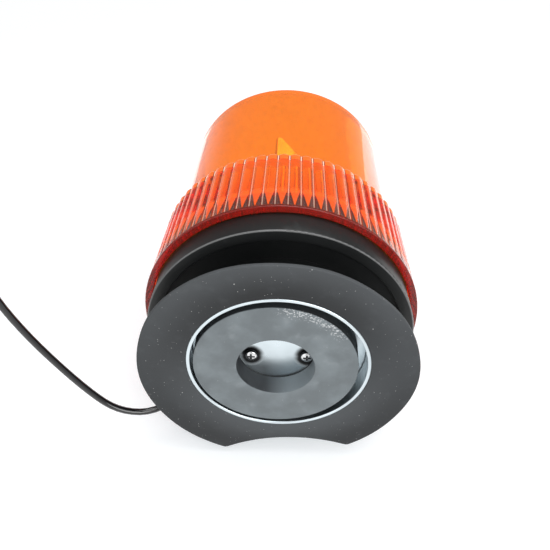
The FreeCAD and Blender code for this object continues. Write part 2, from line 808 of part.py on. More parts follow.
def motor_screw_places():
    """The motor's two screws, square to the line from idler to motor, measured from the motor's axis."""
    reach = size("motor_screw_reach")
    x, y = -reach * sine(size("motor_angle")), reach * cosine(size("motor_angle"))
    return [(x, y), (-x, -y)]


def make_post():
    """Lamp post, its nut and the ring that keeps the rotor down."""
    post = new_body("lamp_post")
    thread_low = size("plate_level") - size("post_thread_length")
    bore = size("post_bore_radius")
    revolve(post, "post_tube", [
        (bore, thread_low), (size("post_thread_radius"), thread_low), (size("post_thread_radius"), plate_top),
        (size("post_flange_radius"), plate_top), (size("post_flange_radius"), post_flange_top),
        (size("post_radius"), post_flange_top), (size("post_radius"), size("post_level")),
        (bore, size("post_level")),
    ])

    nut = new_body("post_nut")
    drawing = Drawing(nut, "post_nut_outline", "XY_Plane", lift=size("plate_level") - size("post_nut_height"))
    drawing.hexagon(size("post_nut_flat_radius"))
    drawing.circle(size("post_thread_radius") + size("screw_fit"))
    pad(nut, "post_nut_body", drawing, size("post_nut_height"))

    ring = new_body("rotor_ring")
    inner = size("post_radius") + size("screw_fit")
    outer = size("post_radius") + size("ring_width")
    top = ring_level + size("ring_thickness")
    revolve(ring, "ring_washer", [(inner, ring_level), (outer, ring_level), (outer, top), (inner, top)])


def make_lamp():
    """Bayonet holder, contact, and the bulb's cap, glass and filament."""
    holder = new_body("bulb_holder")
    low, top = size("post_level"), size("post_level") + size("holder_height")
    floor = low + size("holder_floor")
    inner = size("cap_radius") + size("cap_gap")
    revolve(holder, "holder_cup", [
        (size("holder_hole_radius"), low), (size("holder_radius"), low), (size("holder_radius"), top),
        (inner, top), (inner, floor), (size("holder_hole_radius"), floor),
    ])
    drawing = Drawing(holder, "holder_slot_outline", "XY_Plane", lift=top)
    half = size("holder_slot_width") / 2
    reach = size("holder_radius") + size("holder_slot_width")
    drawing.rectangle(-reach, -half, reach, half)
    pocket(holder, "holder_slots", drawing, size("holder_slot_depth"))

    contact = new_body("holder_contact")
    disc_top = floor + size("contact_disc_thickness")
    button_top = disc_top + size("contact_button_height")
    revolve(contact, "contact_disc", [
        (ZERO, floor), (size("contact_disc_radius"), floor), (size("contact_disc_radius"), disc_top),
        (size("contact_button_radius"), disc_top),
        (size("contact_button_radius"), button_top), (ZERO, button_top),
    ])

    cap = new_body("bulb_cap")
    shoulder = button_top + size("cap_shoulder")
    cap_inner = size("cap_radius") - size("cap_wall")
    cap_floor = button_top + size("cap_floor")
    cap_top = button_top + size("cap_height")
    revolve(cap, "cap_shell", [
        (ZERO, button_top), (size("cap_tip_radius"), button_top), (size("cap_radius"), shoulder),
        (size("cap_radius"), cap_top), (cap_inner, cap_top), (cap_inner, cap_floor), (ZERO, cap_floor),
    ])
    drawing = Drawing(cap, "cap_pin_outline", "YZ_Plane", lift=cap_inner)
    drawing.circle(size("cap_pin_radius"), ZERO, size("cap_pin_level"))
    pin = pad(cap, "cap_pin", drawing, size("cap_wall") + size("cap_pin_reach"))
    mirror(cap, "cap_pins", pin, "YZ_Plane")

    glass_low = cap_floor + size("cap_wall")
    outer = bulb_form("bulb_outer", size("bulb_radius"), size("bulb_neck_radius"), glass_low)
    bulb_wall = size("bulb_wall")
    hollow = bulb_form(
        "bulb_inner", size("bulb_radius") - bulb_wall, size("bulb_neck_radius") - bulb_wall, glass_low,
    )
    glass = doc.addObject("Part::Cut", "bulb_glass")
    glass.Label = "bulb_glass"
    glass.Base = outer
    glass.Tool = hollow
    NODES.append(glass)

    pieces = []
    half = size("filament_length") / 2
    for name, side in (("support_left", -half), ("support_right", half)):
        wire = cylinder(name, size("filament_radius"), size("bulb_level") - cap_floor)
        place(wire, side, ZERO, cap_floor)
        pieces.append(wire)
    coil = cylinder("filament_bar", size("filament_radius"), size("filament_length"))
    coil.Placement.Rotation = FreeCAD.Rotation(FreeCAD.Vector(0, 1, 0), 90)
    place(coil, -half, ZERO, size("bulb_level"))
    filament = doc.addObject("Part::MultiFuse", "bulb_filament")
    filament.Label = "bulb_filament"
    filament.Shapes = [*pieces, coil]
    NODES.append(filament)


def cylinder(name, radius, height):
    made = doc.addObject("Part::Cylinder", name)
    made.setExpression("Radius", radius.formula)
    made.setExpression("Height", height.formula)
    return made


def bulb_form(name, radius, neck_radius, low):
    """A globe on a straight neck."""
    globe = doc.addObject("Part::Sphere", f"{name}_globe")
    globe.setExpression("Radius", radius.formula)
    place(globe, up=size("bulb_level"))
    neck = cylinder(f"{name}_neck", neck_radius, size("bulb_level") - low)
    place(neck, up=low)
    form = doc.addObject("Part::Fuse", name)
    form.Base = globe
    form.Tool = neck
    return form


def make_rotor():
    """Rotor gear with its hub, and the reflector that stands on it."""
    rotor = new_body("rotor_gear")
    gear(
        rotor, "rotor_wheel", size("rotor_teeth"), size("rotor_gear_level"), size("rotor_gear_thickness"),
        bearing_radius,
    )
    revolve(rotor, "rotor_hub", [
        (bearing_radius, rotor_bottom), (size("rotor_hub_radius"), rotor_bottom),
        (size("rotor_hub_radius"), rotor_gear_top), (size("rotor_seat_radius"), rotor_gear_top),
        (size("rotor_seat_radius"), size("rotor_seat_level")),
        (size("rotor_spigot_radius"), size("rotor_seat_level")),
        (size("rotor_spigot_radius"), rotor_top), (bearing_radius, rotor_top),
    ])
    drawing = Drawing(rotor, "rotor_hole_outline", "XY_Plane", lift=size("rotor_seat_level"))
    for side in (size("reflector_screw_circle"), -size("reflector_screw_circle")):
        drawing.circle(size("reflector_screw_radius") + size("screw_fit"), ZERO, side)
    pocket(rotor, "rotor_holes", drawing, size("reflector_screw_depth") + size("running_gap"))
    place(rotor, turn=rotor_turn)

    reflector = new_body("reflector")
    drawing = Drawing(reflector, "trough_outline", "XY_Plane", lift=size("rotor_seat_level"))
    drawing.free(trough_outline())
    pad(reflector, "trough", drawing, size("reflector_level") - size("rotor_seat_level"))
    soften(reflector, "wing_corners", "Fillet", size("reflector_corner"), wing_end_edge)
    drawing = Drawing(reflector, "foot_outline", "XY_Plane", lift=size("rotor_seat_level"))
    drawing.circle(size("rotor_seat_radius"))
    drawing.circle(size("rotor_spigot_radius") + size("reflector_fit"))
    for side in (size("reflector_screw_circle"), -size("reflector_screw_circle")):
        drawing.circle(size("reflector_screw_radius") + size("screw_fit"), ZERO, side)
    pad(reflector, "foot", drawing, size("reflector_foot"))
    place(reflector, turn=rotor_turn)

    screws = new_body("reflector_screws")
    head_low = size("rotor_seat_level") + size("reflector_foot")
    head_top = head_low + size("reflector_screw_head_height")
    low = size("rotor_seat_level") - size("reflector_screw_depth")
    screw = revolve(screws, "reflector_screw", [
        (ZERO, low), (size("reflector_screw_radius"), low), (size("reflector_screw_radius"), head_low),
        (size("reflector_screw_head_radius"), head_low), (size("reflector_screw_head_radius"), head_top),
        (ZERO, head_top),
    ], across=size("reflector_screw_circle"))
    mirror(screws, "reflector_screw_pair", screw, "YZ_Plane")
    place(screws, turn=rotor_turn + 90)


def wing_end_edge(edge):
    """Whether an edge is one of the two short ones at the top of the reflector's wings."""
    level = size("reflector_level").value
    is_top = all(math.isclose(vertex.Z, level, abs_tol=1e-4) for vertex in edge.Vertexes)
    return is_top and math.isclose(edge.Length, size("reflector_wall").value, abs_tol=1e-3)


def trough_outline():
    """A parabola that opens along +X with its focus on the axis, as thick as the reflector's wall."""
    focus, wall = size("reflector_focus").value, size("reflector_wall").value
    tip_forward = size("reflector_wing_radius").value - 2 * focus
    half_width = 2 * math.sqrt(focus * (tip_forward + focus))
    inner, outer = [], []
    for step in range(-TROUGH_STEPS, TROUGH_STEPS + 1):
        y = half_width * step / TROUGH_STEPS
        x = y * y / (4 * focus) - focus
        slope = math.hypot(1, y / (2 * focus))
        inner.append(FreeCAD.Vector(x, y, 0))
        outer.append(FreeCAD.Vector(x - wall / slope, y + wall * y / (2 * focus) / slope, 0))
    curves = []
    for points in (inner, outer):
        curve = Part.BSplineCurve()
        curve.interpolate(points)
        curves.append(curve)
    return [*curves, Part.LineSegment(inner[0], outer[0]), Part.LineSegment(inner[-1], outer[-1])]


def make_idler():
    """Idler axle, the double gear on it and its clip."""
    axle = new_body("idler_axle")
    shoulder_top = plate_top + size("idler_shoulder_height")
    clip_level = idler_top + size("running_gap")
    axle_top = clip_level + size("idler_clip_thickness") + size("idler_axle_end")
    revolve(axle, "axle_pin", [
        (ZERO, size("plate_level")), (size("idler_axle_radius"), size("plate_level")),
        (size("idler_axle_radius"), plate_top), (size("idler_shoulder_radius"), plate_top),
        (size("idler_shoulder_radius"), shoulder_top), (size("idler_axle_radius"), shoulder_top),
        (size("idler_axle_radius"), axle_top), (ZERO, axle_top),
    ])
    place(axle, idler_across, idler_along)

    idler = new_body("idler_gear")
    bore = size("idler_axle_radius") + size("bearing_gap")
    wheel_thickness, pinion_thickness = size("idler_wheel_thickness"), size("idler_pinion_thickness")
    gear(idler, "idler_wheel", size("idler_wheel_teeth"), idler_wheel_level, wheel_thickness, bore)
    gear(idler, "idler_pinion", size("idler_pinion_teeth"), idler_pinion_level, pinion_thickness, bore)
    place(idler, idler_across, idler_along, turn=idler_turn)

    clip = new_body("idler_clip")
    inner, outer = size("idler_axle_radius") + size("screw_fit"), size("idler_clip_radius")
    clip_top = clip_level + size("idler_clip_thickness")
    revolve(clip, "clip_washer", [
        (inner, clip_level), (outer, clip_level), (outer, clip_top), (inner, clip_top),
    ])
    place(clip, idler_across, idler_along)


def make_motor():
    """Flat motor under the plate: can, cover, screws, shaft and pinion."""
    low = size("plate_level") - size("motor_height")
    boss_top = size("plate_level") + size("motor_boss_height")
    bore = size("motor_shaft_radius") + size("motor_shaft_gap")
    can_inner = size("motor_radius") - size("motor_wall")
    can = new_body("motor_can")
    revolve(can, "can_shell", [
        (bore, boss_top), (size("motor_boss_radius"), boss_top),
        (size("motor_boss_radius"), size("plate_level")),
        (size("motor_radius"), size("plate_level")), (size("motor_radius"), low), (can_inner, low),
        (can_inner, size("plate_level") - size("motor_wall")),
        (bore, size("plate_level") - size("motor_wall")),
    ])
    drawing = Drawing(can, "can_hole_outline", "XY_Plane", lift=size("plate_level"))
    for x, y in motor_screw_places():
        drawing.circle(size("motor_screw_radius") + size("screw_fit"), x, y)
    pocket(can, "can_holes", drawing, size("motor_wall"))
    place(can, motor_across, motor_along)

    cover = new_body("motor_cover")
    cover_radius = can_inner - size("screw_fit")
    cover_top = low + size("motor_cover_thickness")
    revolve(cover, "cover_disc", [
        (ZERO, low), (cover_radius, low), (cover_radius, cover_top), (ZERO, cover_top),
    ])
    place(cover, motor_across, motor_along)

    pinion_low = plate_top + size("motor_pinion_gap")
    pinion_top = pinion_low + size("motor_pinion_thickness")
    shaft = new_body("motor_shaft")
    shaft_low = cover_top + size("running_gap")
    shaft_top = pinion_top + size("motor_shaft_end")
    revolve(shaft, "shaft_pin", [
        (ZERO, shaft_low), (size("motor_shaft_radius"), shaft_low), (size("motor_shaft_radius"), shaft_top),
        (ZERO, shaft_top),
    ])
    place(shaft, motor_across, motor_along)

    pinion = new_body("motor_pinion")
    gear(
        pinion, "pinion_wheel", size("motor_pinion_teeth"), pinion_low, size("motor_pinion_thickness"),
        size("motor_shaft_radius"),
    )
    place(pinion, motor_across, motor_along, turn=motor_turn)

    screws = new_body("motor_screws")
    head_top = plate_top + size("motor_screw_head_height")
    screw_low = size("plate_level") - size("motor_screw_depth")
    screw = revolve(screws, "motor_screw", [
        (ZERO, screw_low), (size("motor_screw_radius"), screw_low), (size("motor_screw_radius"), plate_top),
        (size("motor_screw_head_radius"), plate_top),
        (size("motor_screw_head_radius"), head_top), (ZERO, head_top),
    ], across=size("motor_screw_reach"))
    mirror(screws, "motor_screw_pair", screw, "YZ_Plane")
    place(screws, motor_across, motor_along, turn=size("motor_angle") + 90)


def make_cord():
    """Grommet, supply cord, coil, tie and the short tail to the plug."""
    grommet = new_body("cord_grommet")
    bore = size("cord_radius") + size("cord_fit")
    inside = base_floor_top + size("grommet_flange")
    outside = size("base_floor_level") - size("grommet_flange")
    nose = outside - size("grommet_nose")
    revolve(grommet, "grommet_sleeve", [
        (bore, inside), (size("grommet_flange_radius"), inside),
        (size("grommet_flange_radius"), base_floor_top),
        (size("grommet_radius"), base_floor_top), (size("grommet_radius"), size("base_floor_level")),
        (size("grommet_flange_radius"), size("base_floor_level")), (size("grommet_flange_radius"), outside),
        (size("grommet_nose_radius"), nose), (bore, nose),
    ])
    place(grommet, cord_exit_across, cord_exit_along)

    cord = doc.addObject("Part::Feature", "supply_cord")
    cord.Label = "supply_cord"
    levels = (size("cord_start_level"), size("cord_drop_level"))
    inside_run = [(cord_exit_across.value, cord_exit_along.value, level.value) for level in levels]
    cord.Shape = tube([*inside_run, *CORD_ROUTE], size("cord_radius").value)
    NODES.append(cord)

    section = size("coil_layers") * size("cord_radius") * 2
    inner = size("coil_mean_radius") - section / 2
    outer = size("coil_mean_radius") + section / 2
    coil_top = size("coil_lift") + section
    edge = size("cord_radius")
    coil = new_body("cord_coil")
    revolve(coil, "coil_ring", [
        (inner + edge, size("coil_lift")), (outer - edge, size("coil_lift")),
        (outer, size("coil_lift") + edge),
        (outer, coil_top - edge), (outer - edge, coil_top), (inner + edge, coil_top),
        (inner, coil_top - edge), (inner, size("coil_lift") + edge),
    ])
    place(coil, size("coil_centre_across"), size("coil_centre_along"))

    tie = new_body("coil_tie")
    drawing = Drawing(tie, "tie_outline", "YZ_Plane")
    for gap in (size("tie_gap"), size("tie_gap") + size("tie_thickness")):
        drawing.rectangle(inner - gap, size("coil_lift") - gap, outer + gap, coil_top + gap)
    pad(tie, "tie_band", drawing, size("tie_width"), both_sides=True)
    place(tie, size("coil_centre_across"), size("coil_centre_along"))

    tail = cylinder("cord_tail", size("cord_radius"), tail_length())
    tail.Label = "cord_tail"
    tail.Placement.Rotation = FreeCAD.Rotation(FreeCAD.Vector(1, 0, 0), -90)
    place(tail, plug_across(), size("plug_tail_along") - tail_length(), size("plug_radius"))
    NODES.append(tail)


def tail_length():
    """From the outermost turn of the coil to the plug."""
    turn_radius = plug_offset()
    outer = turn_radius + size("cord_radius")
    half_chord = root(outer * outer - turn_radius * turn_radius)
    leave = size("coil_centre_along") + half_chord - size("cord_radius") * 2
    return size("plug_tail_along") - leave


def plug_offset():
    """The radius of the coil's outermost turn, which the plug is in line with."""
    return size("coil_mean_radius") + (size("coil_layers") - 1) * size("cord_radius")


def plug_across():
    return size("coil_centre_across") - plug_offset()


def tube(route, radius):
    """A round tube along straight runs joined by tangent arcs."""
    points = [FreeCAD.Vector(*point) for point in route]
    edges = []
    start = points[0]
    for before, corner, after in zip(points, points[1:], points[2:]):
        to_before, to_after = (before - corner), (after - corner)
        reach = CORD_TURN_SHARE * min(to_before.Length, to_after.Length)
        to_before.normalize()
        to_after.normalize()
        half_turn = (math.pi - to_before.getAngle(to_after)) / 2
        bend = reach / math.tan(half_turn)
        towards = to_before + to_after
        towards.normalize()
        first, last = corner + to_before * reach, corner + to_after * reach
        middle = corner + towards * (bend / math.cos(half_turn) - bend)
        edges.append(Part.LineSegment(start, first).toShape())
        edges.append(Part.Arc(first, middle, last).toShape())
        start = last
        print(f"cord bend radius {bend:.1f} mm")
    edges.append(Part.LineSegment(start, points[-1]).toShape())
    spine = Part.Wire(edges)
    length = spine.Length
    section = Part.Wire([Part.makeCircle(radius, points[0], points[1] - points[0])])
    solid = spine.makePipeShell([section], True, True)
    print(f"cord volume {solid.Volume:.1f}, section times length {math.pi * radius ** 2 * length:.1f}")
    return solid


def plug_body(label):
    """A body whose Z axis runs along the plug, from its tail to its tip."""
    body = new_body(label)
    body.Placement = FreeCAD.Placement(FreeCAD.Vector(), FreeCAD.Rotation(FreeCAD.Vector(1, 0, 0), -90))
    place(body, plug_across(), size("plug_tail_along"), size("plug_radius"))
    return body


def make_plug():
    """Lighter plug: strain relief, body, side contacts, collar and sprung pin."""
    body_low = size("plug_relief_length")
    body_top = body_low + size("plug_body_length")
    collar_top = body_top + size("plug_collar_length")
    relief = plug_body("plug_relief")
    revolve(relief, "relief_cone", [
        (ZERO, ZERO), (size("plug_relief_tip_radius"), ZERO), (size("plug_relief_root_radius"), body_low),
        (ZERO, body_low),
    ])

    shell = plug_body("plug_body")
    inner = size("plug_radius") - size("plug_body_wall")
    neck = size("plug_radius") - size("plug_shoulder")
    revolve(shell, "plug_shell", [
        (ZERO, body_low), (neck, body_low), (size("plug_radius"), body_low + size("plug_shoulder")),
        (size("plug_radius"), body_top - size("plug_edge")),
        (size("plug_radius") - size("plug_edge"), body_top),
        (inner, body_top), (inner, body_low + size("plug_shoulder")),
        (ZERO, body_low + size("plug_shoulder")),
    ])

    contacts = plug_body("plug_contacts")
    start = body_low + size("plug_contact_start")
    end = start + size("plug_contact_length")
    middle = (start + end) / 2
    foot = size("plug_radius")
    thick = size("plug_contact_thickness")
    drawing = Drawing(contacts, "contact_outline", "XZ_Plane")
    drawing.polygon([
        (foot, start), (foot + thick, start),
        (foot + size("plug_contact_bulge"), middle), (foot + thick, end),
        (foot, end),
    ])
    leaf = pad(contacts, "contact_leaf", drawing, size("plug_contact_width"), both_sides=True)
    mirror(contacts, "contact_leaves", leaf, "YZ_Plane")

    collar = plug_body("plug_collar")
    hole = size("plug_pin_radius") + size("plug_pin_gap")
    wall = size("plug_collar_wall")
    revolve(collar, "collar_cap", [
        (hole, collar_top), (hole, collar_top - wall),
        (size("plug_collar_tip_radius") - wall, collar_top - wall),
        (size("plug_collar_tip_radius") - wall, body_top), (size("plug_collar_radius"), body_top),
        (size("plug_collar_tip_radius"), collar_top),
    ])

    pin = plug_body("plug_pin")
    head_top = collar_top - wall - size("plug_pin_gap")
    head_low = head_top - size("plug_pin_head")
    tip = collar_top + size("plug_pin_reach")
    nose = size("plug_pin_nose")
    revolve(pin, "pin_contact", [
        (ZERO, head_low), (size("plug_pin_head_radius"), head_low), (size("plug_pin_head_radius"), head_top),
        (size("plug_pin_radius"), head_top), (size("plug_pin_radius"), tip - nose), (nose, tip), (ZERO, tip),
    ])


def write_parts():
    """Check every object, then write one file per node."""
    doc.recompute()
    failed = [item.Label for item in doc.Objects if {"Invalid", "Error"} & set(item.State)]
    failed += [node.Label for node in NODES if node.Shape.isNull() or not node.Shape.isValid()]
    if failed:
        raise RuntimeError(f"not built: {failed}")
    os.makedirs("parts", exist_ok=True)
    for node in NODES:
        node.Shape.exportStep(f"parts/{node.Label}.step")
        box = node.Shape.BoundBox
        print(
            f"{node.Label}: {len(node.Shape.Solids)} solid, {node.Shape.Volume:.1f} mm3,"
            f" x {box.XMin:.1f} {box.XMax:.1f}, y {box.YMin:.1f} {box.YMax:.1f},"
            f" z {box.ZMin:.1f} {box.ZMax:.1f}"
        )


make_magnet_unit()
make_boot()
make_base()
make_lens()
make_chassis()
make_post()
make_lamp()
make_rotor()
make_idler()
make_motor()
make_cord()
make_plug()
write_parts()
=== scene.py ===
"""Looks of a magnetic rotating warning light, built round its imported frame.

Metres, in the frame's own axes: +Z up, the origin on the light's axis at the magnet face.
"""

import json
import logging
import math
from collections.abc import Callable, Iterator, Sequence
from dataclasses import dataclass, field
from enum import Enum
from typing import Any

import bmesh
import bpy
from mathutils import Matrix, Vector, noise


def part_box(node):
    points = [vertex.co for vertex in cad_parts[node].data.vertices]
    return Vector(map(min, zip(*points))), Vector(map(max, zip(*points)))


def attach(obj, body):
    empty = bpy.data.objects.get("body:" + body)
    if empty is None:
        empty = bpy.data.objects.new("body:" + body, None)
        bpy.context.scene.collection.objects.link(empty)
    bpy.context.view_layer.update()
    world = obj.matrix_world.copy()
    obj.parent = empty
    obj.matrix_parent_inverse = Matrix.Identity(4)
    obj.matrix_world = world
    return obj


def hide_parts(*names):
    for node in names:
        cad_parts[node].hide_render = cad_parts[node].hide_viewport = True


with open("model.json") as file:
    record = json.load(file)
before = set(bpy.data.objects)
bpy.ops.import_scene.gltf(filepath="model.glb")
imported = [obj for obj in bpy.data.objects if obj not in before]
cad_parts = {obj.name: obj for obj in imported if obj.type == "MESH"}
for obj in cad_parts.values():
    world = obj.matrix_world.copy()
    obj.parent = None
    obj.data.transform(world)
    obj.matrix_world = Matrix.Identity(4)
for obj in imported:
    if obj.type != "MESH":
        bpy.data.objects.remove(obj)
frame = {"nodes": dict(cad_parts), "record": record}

log = logging.getLogger("warning_light")

MERGE_GAP = 1e-6
FLAT_ANGLE = math.radians(0.5)
SHARP_ANGLE = math.radians(34)
BEVEL_ANGLE = math.radians(50)
BEVEL_STEPS = 2
ARC_STEPS = 5
SPECK_EDGE = 4.0
TURN_POINTS = 14
WIRE_SIDES = 6

Colour = tuple[float, float, float]
Point = tuple[float, float, float]
Spot = tuple[float, float]
Span = tuple[float, float]

AXIS: Point = (0.0, 0.0, 0.0)
DARK: Colour = (0.0, 0.0, 0.0)
WHITE: Colour = (1.0, 1.0, 1.0)


class EdgeKind(Enum):
    """How far the edges of a piece are softened."""

    CUT = 0.0
    STAMPED = 0.00015
    MOULDED = 0.0003
    ROUNDED = 0.0006


class LampView(Enum):
    """Which rays see a lamp itself; all pieces are lit by it."""

    ALL = "all"
    LENSED = "lensed"


@dataclass(frozen=True)
class Softbox:
    """A square lamp; its level is what it alone gives to white paint that faces it."""

    direction: Point
    level: float
    size: float
    view: LampView = LampView.ALL


class Wire:
    """An output socket that can be used in sums."""

    def __init__(self, graph: "Graph", socket: bpy.types.NodeSocket) -> None:
        """Keep the socket and the graph that it is in."""
        self.graph = graph
        self.socket = socket

    def other(self, name: str) -> "Wire":
        """Another output of the same node."""
        return Wire(self.graph, self.graph.pick(self.socket.node.outputs, name))

    def maths(self, operation: str, *values: "float | Wire") -> "Wire":
        """A Math node that starts with this socket.

        Args:
            operation: The node's operation.
            values: The operands after this one.

        Returns:
            The node's result.
        """
        operands = dict(enumerate((self, *values)))
        return self.graph.add("ShaderNodeMath", {"operation": operation}, operands)

    def __add__(self, value: "float | Wire") -> "Wire":
        """This plus a value."""
        return self.maths("ADD", value)

    def __sub__(self, value: "float | Wire") -> "Wire":
        """This less a value."""
        return self.maths("SUBTRACT", value)

    def __mul__(self, value: "float | Wire") -> "Wire":
        """This times a value."""
        return self.maths("MULTIPLY", value)

    def __truediv__(self, value: "float | Wire") -> "Wire":
        """This over a value."""
        return self.maths("DIVIDE", value)

    def __rsub__(self, value: float) -> "Wire":
        """A number less this."""
        return self.graph.add("ShaderNodeMath", {"operation": "SUBTRACT"}, {0: value, 1: self})

    __radd__ = __add__
    __rmul__ = __mul__


class Graph:
    """A node tree that is filled node by node."""

    def __init__(self, tree: bpy.types.NodeTree) -> None:
        """Keep the tree."""
        self.tree = tree

    @staticmethod
    def pick(sockets: Sequence[bpy.types.NodeSocket], key: int | str) -> bpy.types.NodeSocket:
        """A socket in use, by its place or its name.

        Args:
            sockets: A node's inputs or outputs.
            key: The socket's place or name.

        Returns:
            The socket.
        """
        if isinstance(key, int):
            return sockets[key]
        return next(socket for socket in sockets if socket.name == key and socket.enabled)

    def add(
        self,
        kind: str,
        settings: dict[str, Any] | None = None,
        inputs: dict[int | str, Any] | None = None,
        output: int | str = 0,
    ) -> Wire | None:
        """Any node.

        Args:
            kind: The node's type.
            settings: What the node itself is set to, before its sockets.
            inputs: Values or wires, by the sockets' places or names.
            output: The output that is wanted.

        Returns:
            That output, or nothing where the node has none.
        """
        node = self.tree.nodes.new(kind)
        for name, value in (settings or {}).items():
            setattr(node, name, value)
        for key, value in (inputs or {}).items():
            socket = self.pick(node.inputs, key)
            if isinstance(value, Wire):
                self.tree.links.new(value.socket, socket)
            else:
                socket.default_value = value
        return Wire(self, self.pick(node.outputs, output)) if node.outputs else None

    def vector(self, operation: str, *values: "Point | Wire", output: int | str = 0) -> Wire:
        """A Vector Math node.

        Args:
            operation: The node's operation.
            values: Its vectors.
            output: The output that is wanted.

        Returns:
            That output.
        """
        return self.add("ShaderNodeVectorMath", {"operation": operation}, dict(enumerate(values)), output)

    def smooth_step(self, value: Wire, span: Span, least: float = 0.0) -> Wire:
        """A soft step up to 1.

        Args:
            value: What is compared.
            span: Where the step starts and ends; it falls where the end is below the start.
            least: What the step starts from.

        Returns:
            The step.
        """
        return self.add(
            "ShaderNodeMapRange",
            {"interpolation_type": "SMOOTHSTEP"},
            {"Value": value, "From Min": span[0], "From Max": span[1], "To Min": least},
        )


class Surface(Graph):
    """The node tree of one material, with the patterns that the finishes share."""

    def __init__(self, name: str) -> None:
        """Make the material and empty its tree.

        Args:
            name: The material's name.
        """
        self.material = bpy.data.materials.new(name)
        self.material.use_nodes = True
        super().__init__(self.material.node_tree)
        self.tree.nodes.clear()
        self.place = self.add("ShaderNodeTexCoord", output="Object")

    def stretched(self, factors: Point) -> Wire:
        """The place on the piece, scaled along each axis."""
        return self.add("ShaderNodeMapping", None, {"Vector": self.place, "Scale": factors})

    def noise(self, scale: float, detail: float = 3.0, place: Wire | None = None) -> Wire:
        """Cloudy noise from 0 to 1.

        Args:
            scale: Clouds per metre.
            detail: Octaves of finer clouds.
            place: Where to read it, if not the plain place on the piece.

        Returns:
            The noise.
        """
        return self.add(
            "ShaderNodeTexNoise", None, {"Vector": place or self.place, "Scale": scale, "Detail": detail}
        )

    def step(self, value: Wire, low: float, high: float) -> Wire:
        """A soft step from 0 at the low value to 1 at the high one."""
        return self.smooth_step(value, (low, high))

    def blend(self, share: Wire, first: Colour | Wire, second: Colour | Wire) -> Wire:
        """A colour between two.

        Args:
            share: 0 for the first, 1 for the second.
            first: A colour.
            second: A colour.

        Returns:
            The mixed colour.
        """
        ends = {
            name: colour if isinstance(colour, Wire) else (*colour, 1.0)
            for name, colour in (("A", first), ("B", second))
        }
        return self.add("ShaderNodeMix", {"data_type": "RGBA"}, {"Factor": share, **ends}, "Result")

    def specks(self, spacing: float, radius: float, kept: float) -> Wire:
        """Scattered round specks.

        Args:
            spacing: Distance between possible specks.
            radius: The largest speck's radius.
            kept: Share of the places that hold one.

        Returns:
            1 in a speck, 0 outside.
        """
        grid = {"Vector": self.place, "Scale": 1.0 / spacing}
        cells = self.add("ShaderNodeTexVoronoi", None, grid, "Distance")
        chance = self.add("ShaderNodeSeparateColor", None, {"Color": cells.other("Color")}, "Red")
        reach = (chance - (1.0 - kept)) * (radius / spacing / kept)
        depth = (reach - cells) * (spacing / radius * SPECK_EDGE)
        return depth.maths("MAXIMUM", 0.0).maths("MINIMUM", 1.0)

    def offset(self, centre: Point) -> Wire:
        """The level vector from an upright line to the place."""
        return self.vector("MULTIPLY", self.vector("SUBTRACT", self.place, centre), (1.0, 1.0, 0.0))

    def distance(self, centre: Point) -> Wire:
        """The distance from an upright line."""
        return self.vector("LENGTH", self.offset(centre), output="Value")

    def facing(self, centre: Point, angle: float) -> Wire:
        """How near the place is to one side of an upright line.

        Args:
            centre: A point on the line.
            angle: The side, from +X towards +Y.

        Returns:
            The cosine of the angle from that side.
        """
        outward = self.vector("NORMALIZE", self.offset(centre))
        side = (math.cos(angle), math.sin(angle), 0.0)
        return self.vector("DOT_PRODUCT", outward, side, output="Value")

    def along(self, axis: str) -> Wire:
        """How far along an axis the place is."""
        return self.add("ShaderNodeSeparateXYZ", None, {0: self.place}, axis)

    def level(self) -> Wire:
        """The height of the place."""
        return self.along("Z")

    def bump(self, height: Wire, depth: float, strength: float = 1.0) -> Wire:
        """A normal from a height between 0 and 1, with its depth in metres."""
        inputs = {"Height": height, "Distance": depth, "Strength": strength}
        return self.add("ShaderNodeBump", None, inputs)

    def shade(self, sockets: dict[str, Any]) -> None:
        """The shader and the output, from values and wires by the shader's socket names."""
        shader = self.add("ShaderNodeBsdfPrincipled", None, sockets)
        self.add("ShaderNodeOutputMaterial", None, {"Surface": shader})


@dataclass(frozen=True)
class Finish:
    """A finish; each kind paints its own surface."""

    name: str

    def material(self) -> bpy.types.Material:
        """The finish as a material, made once.

        Returns:
            The material.
        """
        made = bpy.data.materials.get(self.name)
        if made is None:
            surface = Surface(self.name)
            self.paint(surface)
            made = surface.material
        return made

    def paint(self, surface: Surface) -> None:
        """Fill the surface; each kind of finish has its own."""
        raise NotImplementedError


@dataclass(frozen=True)
class Mark:
    """Dull plastic: its largest share, its colour, and its glow, an emission of painted light though the
    plastic is no lamp.
    """

    share: float
    colour: Colour
    glow: Colour = DARK


@dataclass(frozen=True)
class DullBand:
    """A level stretch of clear plastic, from some radius outward, made dull and painted with a colour and
    a glow that stand in for light and shade.
    """

    low: float
    high: float
    fade: float
    mark: Mark
    inner: float = 0.05
    inner_fade: float = 0.0003

    def inside(self, surface: Surface, level: Wire, radius: Wire) -> Wire:
        """Where the band is.

        Args:
            surface: The surface that is painted.
            level: The height of the place.
            radius: Its distance from the axis.

        Returns:
            1 in the band, 0 outside.
        """
        above = surface.step(level, self.low - self.fade, self.low)
        below = surface.step(level, self.high + self.fade, self.high)
        return above * below * surface.step(radius, self.inner - self.inner_fade, self.inner)


